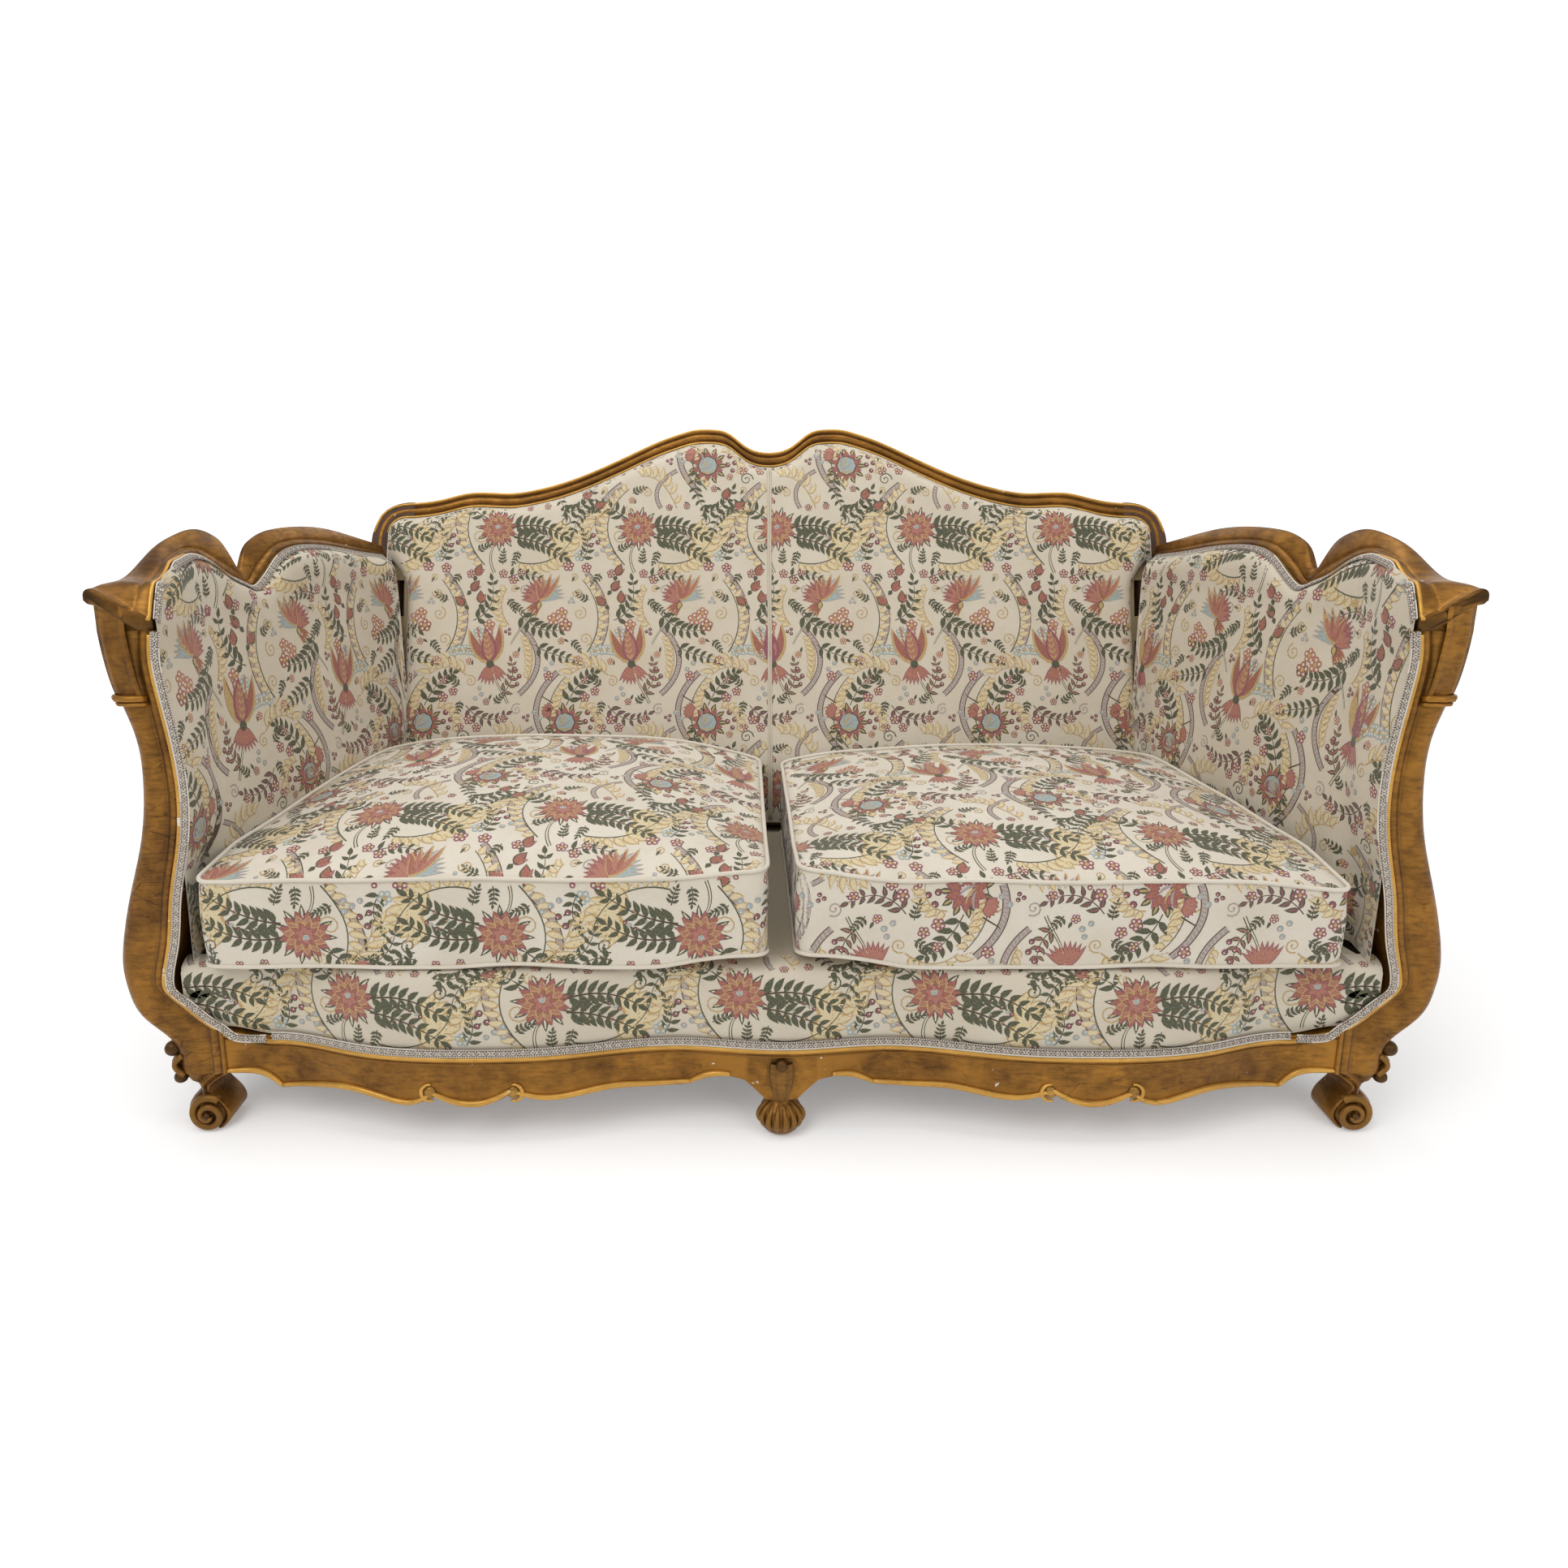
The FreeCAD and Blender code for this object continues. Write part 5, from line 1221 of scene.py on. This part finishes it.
def post(side):
    shape = Shape()
    levels = sorted(set([0, 3, 7, 12] + list(range(16, 150, 5)) + [90, 91] + list(range(150, 215, 3))
                        + list(range(215, 751, 6)) + [750]))
    rows = []
    for z in levels:
        a, b = inner_x(z), outer_x(z)
        width = b - a
        row = []
        for k in range(49):
            x = a + width * k / 48
            d_in, d_out = x - a, b - x
            if d_in < 8:
                y = 5.5 - 5.5 * math.sin(math.pi * (0.08 + 0.92 * d_in / 8)) ** 0.6
            elif d_in < 22:
                y = 5.5 - 4.0 * math.sin(math.pi * (d_in - 8) / 14)
            elif d_in < 26:
                y = 5.5
            else:
                y = 5.5 - 5.0 * math.sin(math.pi * 0.5 * min(1, (d_in - 26) / max(8.0, width - 50))) ** 0.7
            roll = 20.0
            if d_out < roll:
                y += roll - math.sqrt(max(0, roll ** 2 - (roll - d_out) ** 2))
            if z < 90:
                y += 3
            row.append((x, y, z))
        row += [(b, POST_THICK - 4, z), (b - 4, POST_THICK, z),
                (a + 3, POST_THICK, z), (a, POST_THICK - 4, z)]
        rows.append(row)
    shape.grid(rows, wrap=True, cap=True)
    made = shape.sided(side)
    word = WORD[side]
    made.piece("arm_post_carved_" + word, [GOLD], slot="gilt_wood", replaces=("arm_post_" + word,))

    carving = Shape()
    eye_x, eye_z = inset(83), 27.0
    spiral = []
    for k in range(70):
        t = k / 69
        a = 2.2 - 3.6 * math.pi * t
        r = 27 * (1 - 0.84 * t)
        spiral.append((eye_x + r * math.cos(a), -1.0 - 8 * t, eye_z + r * math.sin(a)))
    carving.tube(spiral, [6.2 * (1 - 0.4 * k / 69) for k in range(70)], 8)
    carving.ball((eye_x, -8, eye_z), 5.5)
    for height, radius, x in ((126, 12, inset(34)), (81, 9.5, inset(42))):
        carving.ball((x, radius + 1, height), radius + 0.6, squash=(1, 1, 0.92))
    for depth, reach in ((5, 0), (13, 4), (21, 2)):
        curl = [(inset(50) + 13 * math.sin(math.pi * t) + reach, depth, 118 - 32 * t) for t in
                (k / 10 for k in range(11))]
        carving.tube(curl, 4.2, 8)
    made = carving.sided(side)
    made.piece("foot_scroll_" + word, [GILT_PAINTED_SHADE], slot="gilt_wood")

    capital = Shape()
    rows = []
    for i in range(41):
        t = i / 40
        z = 662 + 122 * t
        edge = outer_x(min(z, JOINT_Z)) - 3 * smooth((z - JOINT_Z) / 30)
        swell = 5 * math.sin(math.pi * min(1, 0.1 + 0.75 * t)) + 5 * smooth((t - 0.72) / 0.28)
        row = []
        for k in range(37):
            q = k / 36
            ridge = 2.4 * max(math.exp(-((q - 0.06) / 0.05) ** 2), math.exp(-((q - 0.46) / 0.05) ** 2),
                              math.exp(-((q - 0.74) / 0.05) ** 2), math.exp(-((q - 0.97) / 0.05) ** 2))
            if q < 0.55:
                x = edge - 42 + 40 * q / 0.55
                y = 1.5 - swell - ridge + 9 * (q / 0.55) ** 3
            else:
                a = (q - 0.55) / 0.45
                x = edge - 2 + (3 + 0.8 * swell + ridge) * math.sin(math.pi * (0.15 + 0.8 * a))
                y = 10 - swell + 44 * a
            row.append((x, y, z))
        rows.append(row)
    capital.grid(rows)
    for z, radius in ((657, 5.0), (649, 2.8)):
        edge = outer_x(z)
        band = [(edge - 44, 3, z - 1), (edge - 40, -2, z), (edge - 22, -3.5, z), (edge - 6, -1, z),
                (edge + 1, 8, z), (edge + 3, 24, z), (edge + 3, 54, z)]
        capital.tube(band, radius, 8)
    made = capital.sided(side)
    made.piece("post_capital_" + word, [GOLD], slot="gilt_wood")


def inner_bead(side):
    word = WORD[side]
    shape = Shape()
    path = [(post_inner(z) + 4.5, -0.5, z) for z in [165 + 5 * i for i in range(117)]]
    shape.tube(path, 3.4, 8)
    made = shape.sided(side)
    made.piece("post_bead_" + word, [GILT_PAINTED_HIGHLIGHT], slot="gilt_wood")


# Arm rails

def arm_rail(side):
    shape = Shape()
    rows = []
    ys = [-8, -6.5, -4, -0.1, 0] + [4 + 5 * i for i in range(154)]
    for y in ys:
        yy = max(y, 0)
        crest_z, edge = arm_crest(yy), arm_brim(yy)
        b, a = arm_outer(y), arm_inner(y)
        step = 13 - 3 * smooth((yy - 50) / 12)
        row = [(b - step, y, JOINT_Z)]
        for k in range(9):
            t = k / 8
            z = JOINT_Z + (crest_z - 10 - JOINT_Z) * t
            row.append((b - step * (1 - smooth((z - crest_z + 28) / 9)), y, z))
        start = np.array((b, crest_z - 10))
        top = np.array((b - 10, crest_z))
        for k in range(1, 7):
            ang = math.pi / 2 * k / 6
            row.append((start[0] - 10 * (1 - math.cos(ang)), y, start[1] + 10 * math.sin(ang)))
        end = np.array((a, edge))
        span = end - top
        length = np.linalg.norm(span)
        up = np.array((-span[1], span[0])) / length
        if up[1] < 0:
            up = -up
        for k in range(1, 25):
            t = k / 24
            if t < 0.62:
                relief = 2.2 * math.sin(math.pi * t / 0.62) ** 0.7
            elif t < 0.7:
                relief = -2.0 * math.sin(math.pi * (t - 0.62) / 0.08)
            elif t < 0.95:
                relief = 2.6 * math.sin(math.pi * (t - 0.7) / 0.25) ** 0.7
            else:
                relief = -1.5 * (t - 0.95) / 0.05
            spot = top + span * t + up * relief
            row.append((spot[0], y, spot[1]))
        row.append((a, y, JOINT_Z))
        row += [(a + (b - step - a) * k / 7, y, JOINT_Z) for k in range(1, 7)]
        if y < 0:
            shrink = 5 * (1 - math.sqrt(max(0, 1 - ((-y - 3) / 5.2) ** 2))) if y < -3 else 0
            lifted = []
            for x, py, z in row:
                line = edge + (crest_z - edge) * min(max((x - a) / (top[0] - a), 0), 1)
                fade = smooth((x - a) / (0.55 * (b - a)))
                thin = min(max(z, line - 22 + shrink), line + 3 - shrink)
                lifted.append((x, py * fade, z + (thin - z) * fade))
            row = lifted
        rows.append([(x, min(py, back_y(z, 0)), z) for x, py, z in row])
    shape.grid(rows, wrap=True, cap=True)
    made = shape.sided(side)
    word = WORD[side]
    made.piece("arm_rail_carved_" + word, [GOLD], slot="gilt_wood", replaces=("arm_rail_" + word,))
    trim = Shape()
    bead = [(arm_inner(y) + 3.2, y, arm_brim(y) + 1.5) for y in [-4 + 6 * i for i in range(124)]]
    trim.tube(bead, 3.0, 8)
    made = trim.sided(side)
    made.piece("arm_bead_" + word, [GILT_PAINTED_HIGHLIGHT], slot="gilt_wood")


# Back rail

def back_rail():
    outer = [(u, crest(u)) for u in [-720 + 10 * i for i in range(145)]]
    right_out = [(744, JOINT_V - 1.5), (762, JOINT_V - 6), (778, JOINT_V - 14), (790, JOINT_V - 26),
                 (798, JOINT_V - 42), (804, JOINT_V - 62), (806, JOINT_V - 82), (806, JOINT_V - 160),
                 (806, slope_v(215))]
    right_in = [(734, JOINT_V - 34), (744, JOINT_V - 35), (750, JOINT_V - 37), (758, JOINT_V - 42),
                (765, JOINT_V - 50), (770, JOINT_V - 62), (772, JOINT_V - 80), (772, JOINT_V - 160),
                (772, slope_v(215))]
    pairs = [((-a[0], a[1]), (-b[0], b[1])) for a, b in list(zip(right_out, right_in))[::-1]]
    pairs += [(p, (p[0], p[1] - SHOW)) for p in outer]
    pairs += list(zip(right_out, right_in))
    rows = []
    for o, i in pairs:
        o, i = np.array(o), np.array(i)
        row = []
        profile = [(0.0, -BACK_THICK), (0.0, -20.0), (0.0, -9.0), (0.015, -5.0), (0.05, -2.0), (0.10, -0.4),
                   (0.16, 0.0), (0.22, -1.0), (0.25, -3.2), (0.28, -4.0), (0.31, -3.2), (0.35, -1.0),
                   (0.42, 0.4), (0.50, 0.8), (0.58, 0.4), (0.65, -1.0), (0.69, -3.4), (0.72, -4.0),
                   (0.75, -3.2), (0.80, -1.2), (0.87, -0.3), (0.94, -1.2), (0.985, -3.4), (1.0, -6.0),
                   (1.0, -11.0), (1.0, -BACK_THICK)]
        for share, w in profile:
            spot = o + (i - o) * share
            row.append(on_back(spot[0], spot[1], w))
        rows.append(row)
    shape = Shape()
    shape.grid(rows, wrap=True, cap=True)
    shape.piece("back_rail_carved", [GOLD], slot="gilt_wood",
                replaces=("back_top_rail",))
    for word in ("left", "right"):
        nodes["back_stile_" + word].data.materials.clear()
        nodes["back_stile_" + word].data.materials.append(WALNUT)
    trim = Shape()
    for share, radius, w in ((0.10, 2.6, -0.6), (0.88, 2.4, -0.8)):
        path = []
        for o, i in pairs[3:-3]:
            spot = np.array(o) + (np.array(i) - np.array(o)) * share
            path.append(on_back(spot[0], spot[1], w))
        trim.tube(path, radius, 8)
    trim.piece("back_rail_beads", [GILT_PAINTED_HIGHLIGHT], slot="gilt_wood")


# Front rail

def front_trim():
    shape = Shape()
    top = []
    for i in range(164):
        x = -JOINT_X + 10 * i
        z = RAIL_TOP - 9
        if abs(x) > 745:
            z = RAIL_TOP - 9 + 18 * smooth((abs(x) - 745) / 70)
        top.append((x, bow(x) - 1.2, z))
    shape.tube(top, 3.8, 8)
    shape.tube([(x, y + 1.2, z - 9) for x, y, z in top], 1.6, 6, slot=1)
    for side in (-1, 1):
        for run in RAIL_EDGE:
            path = Path([(share * JOINT_X, low(level)) for share, level in run])
            points = path.points(24)
            shape.tube([(side * x, bow(x) - 1.0, z + 4.5) for x, z in points],
                       [2.2 + 2.6 * math.sin(math.pi * (0.12 + 0.76 * k / 23)) for k in range(24)], 8)
        for x in (507, 387):
            shape.ball((side * x, bow(x) - 0.5, low(0.57)), 9.5, squash=(1, 0.45, 1))
            hook = [(side * (x + 13 * math.cos(a) * (1 if x == 507 else -1)), bow(x) - 0.8,
                     low(0.57) + 13 * math.sin(a))
                    for a in (-1.9 + 3.6 * k / 14 for k in range(15))]
            shape.tube(hook, [1.6 + 1.6 * math.sin(math.pi * k / 14) for k in range(15)], 8)
    shape.piece("front_rail_beads", [GILT_PAINTED_HIGHLIGHT, GILT_PAINTED_SHADE], slot="gilt_wood")
    knee = Shape()
    rows = []
    for i in range(25):
        t = i / 24
        z = 118 - 60 * t
        half = 9 + 10 * math.sin(math.pi * min(1, 0.25 + 0.7 * t)) * (1 - 0.4 * t)
        row = []
        for k in range(21):
            q = k / 20
            a = math.pi * q
            rib = 1.6 * abs(math.sin(3 * math.pi * q))
            swell = (10 - rib) * math.sin(a) * math.sin(math.pi * (0.1 + 0.85 * t)) ** 0.5
            row.append((-half * math.cos(a), bow(0) - 2 - swell, z))
        rows.append(row)
    knee.grid(rows)
    knee.ball((0, bow(0) - 6, 116), 9, squash=(1, 0.7, 1))
    for k in range(8):
        a = math.pi * (0.06 + 0.125 * k) + math.pi
        path = [(33 * math.cos(a) * math.sin(math.pi * (0.08 + 0.84 * t)),
                 5 + 33 * math.sin(a) * math.sin(math.pi * (0.08 + 0.84 * t)), 54 * (1 - t))
                for t in (i / 14 for i in range(15))]
        knee.tube(path, [4.6 * math.sin(math.pi * (0.1 + 0.8 * i / 14)) for i in range(15)], 8)
    knee.piece("centre_foot_carving", [GILT_PAINTED_SHADE], slot="gilt_wood")


# Braid

def braid(name, points, across, normal, replaces):
    """A flat braid along a path: beaded white edges and crossing cords between them."""
    path = [np.array(p, float) for p in points]
    rows = []
    s = 0.0
    places = []
    for i, point in enumerate(path):
        if i:
            s += float(np.linalg.norm(point - path[i - 1]))
        places.append(s)
        side = unit(np.array(across[i], float))
        up = unit(np.array(normal[i], float))
        row = []
        for k in range(13):
            q = -1 + k / 6
            if abs(q) > 0.72:
                bead = abs(math.sin(math.pi * s / 3.4 + (0.5 if q > 0 else 0)))
                height = 0.6 + 2.2 * bead * math.sin(math.pi * (abs(q) - 0.7) / 0.34)
                reach = q * (1 + 0.07 * bead)
            else:
                wave = 0.42 * math.sin(2 * math.pi * s / 9)
                height = 0.8 + 1.5 * max(math.exp(-((q - wave) / 0.16) ** 2),
                                         math.exp(-((q + wave) / 0.16) ** 2))
                reach = q
            row.append(tuple(point + side * reach * BRAID_WIDTH / 2 + up * height))
        rows.append(row)

    def thread(r, c):
        q = -1 + (c + 0.5) / 6
        if abs(q) > 0.72:
            return 0 if abs(math.sin(math.pi * places[r] / 3.4 + (0.5 if q > 0 else 0))) > 0.35 else 1
        wave = 0.42 * math.sin(2 * math.pi * places[r] / 9)
        near = min(abs(q - wave), abs(q + wave))
        return 0 if near < 0.12 else (1 if near < 0.34 else 2)

    shape = Shape()
    shape.grid(rows, slot=thread)
    return shape.piece(name, BRAID, slot="braid", replaces=replaces)


def dense(points, step=1.7):
    path = Path(points)
    return path.points(int(path.length / step) + 2)


def braids():
    inner = [(734, JOINT_V - SHOW), (748, JOINT_V - 37), (760, JOINT_V - 44), (768, JOINT_V - 55),
             (772, JOINT_V - 80), (772, JOINT_V - 190)]
    line = [(-u, v) for u, v in inner[::-1]] + [(u, crest(u) - SHOW) for u in range(-720, 721, 12)] + inner
    flat = dense(line)
    points, across = [], []
    for i, (u, v) in enumerate(flat):
        a, b = flat[max(i - 1, 0)], flat[min(i + 1, len(flat) - 1)]
        t = unit(np.array((b[0] - a[0], b[1] - a[1])))
        inward = (t[1], -t[0])
        u2, v2 = u + 5.5 * inward[0], v + 5.5 * inward[1]
        points.append(on_back(u2, v2, 2 + 9 * 0.2))
        tip = np.array(on_back(inward[0], inward[1], 0.25)) - np.array(on_back(0, 0, 0))
        across.append(tuple(tip))
    braid("braid_back", points, across, [(0, -COS, SIN)] * len(points), replaces=("gimp_back",))

    line = []
    for i in range(151):
        x = -750 + 10 * i
        line.append((x, bow(x) - 2.2, RAIL_TOP + 1))
    pts = dense(line)
    braid("braid_front", pts, [(0, 0.1, 1)] * len(pts), [(0, -1, 0.1)] * len(pts), replaces=("gimp_front",))

    for side in (-1, 1):
        word = WORD[side]
        run = [(750, RAIL_TOP + 1), (782, 146), (800, 150)] + [(x, z) for x, z in POST_INNER[::-1] if z > 160]
        curve = dense(run)
        points, across = [], []
        for i, (x, z) in enumerate(curve):
            a, b = curve[max(i - 1, 0)], curve[min(i + 1, len(curve) - 1)]
            t = unit(np.array((b[0] - a[0], b[1] - a[1])))
            inward = (-t[1], t[0])
            y = -1.2 if z > 170 else min(bow(x), 0) - 1.6
            points.append((side * (x + 4.0 * inward[0]), y, z + 4.0 * inward[1]))
            across.append((side * inward[0], 0.12, inward[1]))
        braid("braid_post_" + word, points, across, [(0, -1, 0)] * len(points),
              replaces=("gimp_post_" + word,))
        run = dense([(arm_inner(y) - 6, y, arm_brim(y) - 2) for y in range(0, 722, 9)])
        keep = [p for p in run if p[1] < back_y(p[2], 4)]
        braid("braid_arm_" + word, [(side * p[0], p[1], p[2]) for p in keep], [(side, 0, 0.9)] * len(keep),
              [(-side * 0.8, 0, 0.9)] * len(keep), replaces=("gimp_arm_" + word,))


# Outside covers and the cloth underneath

COVER_FOOT = 151.0


def covers():
    for side in (-1, 1):
        word = WORD[side]
        rows, uvs = [], []
        for i in range(71):
            y = POST_THICK + 1 + (760 - POST_THICK) * i / 70
            row, flat = [], []
            for k in range(56):
                t = k / 55
                top = arm_crest(y) - 40
                z = COVER_FOOT + (top - COVER_FOOT) * t
                x = cover_x(y, min(z, JOINT_Z))
                x -= (1.2 * (1 + noise.noise(Vector((y / 140, z / 140, 9))))
                      * math.sin(math.pi * t) * math.sin(math.pi * i / 70))
                row.append((x - 0.3, min(y, back_y(z, -1)), z))
                flat.append((y, z))
            rows.append(row)
            uvs.append(flat)
        shape = Shape()
        shape.grid(rows, uvs, flip=True)
        made = shape.sided(side)
        cover = made.piece("outside_arm_" + word, [CREAM], slot="damask",
                           replaces=("outside_arm_cover_" + word,))
        weave_figure(cover, "outside_arm_figure_" + word, (60, 150))
    rows, uvs = [], []
    bottom = slope_v(215) + 14
    for r in range(61):
        t = r / 60
        row, flat = [], []
        for c in range(101):
            s = -1 + 2 * c / 100
            u = 796 * s
            top = crest(max(-CREST_HALF, min(CREST_HALF, u))) - 12
            if abs(u) > 720:
                top -= 60 * ((abs(u) - 720) / 76) ** 2
            v = bottom + t * (top - bottom)
            w = -BACK_THICK - 1.2 - 0.7 * noise.noise(Vector((u / 200, v / 160, 5))) * math.sin(math.pi * t)
            row.append(on_back(u, v, w))
            flat.append((u, v))
        rows.append(row)
        uvs.append(flat)
    shape = Shape()
    shape.grid(rows, uvs, flip=True)
    cover = shape.piece("outside_back", [CREAM], slot="damask", replaces=("outside_back_cover",))
    weave_figure(cover, "outside_back_figure", (-56, -140))
    low_box, high_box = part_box("dust_cover")
    rows = []
    for i in range(41):
        y = low_box[1] * 1000 + SHIFT + (high_box[1] - low_box[1]) * 1000 * i / 40
        half = side_x(y) - 2
        rows.append([(half * (k / 20 - 1), y, low_box[2] * 1000 + 0.5) for k in range(41)])
    shape = Shape()
    shape.grid(rows, flip=True)
    shape.piece("underside_cloth", [BLACK_CLOTH], slot="calico", replaces=("dust_cover",))


def finish_nodes():
    """Gives each carried-over CAD node its material."""
    looks = {"gilt_wood": GOLD, "beech": BEECH, "steel": STEEL, "webbing": WEBBING, "calico": CALICO,
             "damask": CREAM, "braid": BRAID[0]}
    by_node = {}
    for entry in frame["record"].get("subparts", []):
        by_node[entry["node"]] = entry.get("material_slot")
    for name, obj in nodes.items():
        if name.startswith("back_stile"):
            continue
        material = looks.get(by_node.get(name, "beech"), BEECH)
        obj.data.materials.clear()
        obj.data.materials.append(material)


finish_nodes()
back_pad()
for arm_side in (-1, 1):
    arm_pad(arm_side)
    post(arm_side)
    inner_bead(arm_side)
    arm_rail(arm_side)
deck()
cushion("left", 827, 18.3, -1, 73, (-122, 60), 3.0, (-679, 52), (72, 76))
cushion("right", 801, 17.7, 1, 50, (-60, 20), 8.0, (248, 118), (212, 206))
back_rail()
front_trim()
braids()
covers()

# Studio

def stage_set():
    mesh = bpy.data.meshes.new("studio_floor")
    rows = []
    for x in (-9, 9):
        row = [(x, -9, 0), (x, 4.0, 0)]
        for k in range(1, 13):
            a = math.pi / 2 * k / 12
            row.append((x, 4.0 + 2.0 * math.sin(a), 2.0 - 2.0 * math.cos(a)))
        row.append((x, 6.0, 8.0))
        rows.append(row)
    count = len(rows[0])
    mesh.from_pydata([p for row in rows for p in row], [],
                     [(k, k + 1, count + k + 1, count + k) for k in range(count - 1)])
    mesh.polygons.foreach_set("use_smooth", [True] * len(mesh.polygons))
    n = Nodes("studio_white", Roughness=0.9, Specular_IOR_Level=0.1)
    n.shader.inputs["Base Color"].default_value = (0.93, 0.93, 0.93, 1)
    n.shader.inputs["Emission Color"].default_value = (1, 1, 1, 1)
    far = n.add("ShaderNodeSeparateXYZ", {0: n.add("ShaderNodeTexCoord").outputs["Object"]}).outputs[1]
    away = n.ramp(n.add("ShaderNodeMapRange", {"Value": far, "From Min": 0.2, "From Max": 3.4}).outputs[0],
                  0.0, 1.0, 0.20, 0.62)
    rays = n.add("ShaderNodeLightPath")
    seen = n.maths("MAXIMUM", rays.outputs["Is Camera Ray"], rays.outputs["Is Glossy Ray"])
    n.set("Emission Strength", n.maths("MULTIPLY", seen, away))
    mesh.materials.append(n.material)
    floor = bpy.data.objects.new("studio_floor", mesh)
    bpy.context.scene.collection.objects.link(floor)

    world = bpy.context.scene.world or bpy.data.worlds.new("studio")
    bpy.context.scene.world = world
    world.use_nodes = True
    world.node_tree.nodes["Background"].inputs["Color"].default_value = (1, 1, 1, 1)
    world.node_tree.nodes["Background"].inputs["Strength"].default_value = 0.58
    for name, place, size, power, aim in (("key", (-1.8, -2.6, 3.4), 2.2, 56, (0, -0.2, 0.4)),
                                          ("fill", (2.4, -3.2, 2.2), 2.4, 24, (0, 0, 0.4)),
                                          ("top", (0, 0.2, 3.4), 2.6, 42, (0, 0, 0.3))):
        light = bpy.data.lights.new(name, "AREA")
        light.size = size
        light.energy = power
        lamp = bpy.data.objects.new(name, light)
        lamp.location = place
        lamp.rotation_euler = (Vector(aim) - Vector(place)).to_track_quat("-Z", "Y").to_euler()
        bpy.context.scene.collection.objects.link(lamp)

    lens = bpy.data.cameras.new("camera")
    lens.sensor_width = 36
    lens.lens = 24.22
    lens.shift_x = 0.0297
    lens.shift_y = -0.0621
    lens.clip_end = 60
    camera = bpy.data.objects.new("camera", lens)
    camera.location = (-0.0642, -1.399 - SHIFT / 1000, 0.971)
    camera.rotation_euler = (math.radians(78), 0, 0)
    bpy.context.scene.collection.objects.link(camera)
    bpy.context.scene.camera = camera
    bpy.context.scene.view_settings.view_transform = "Standard"


stage_set()
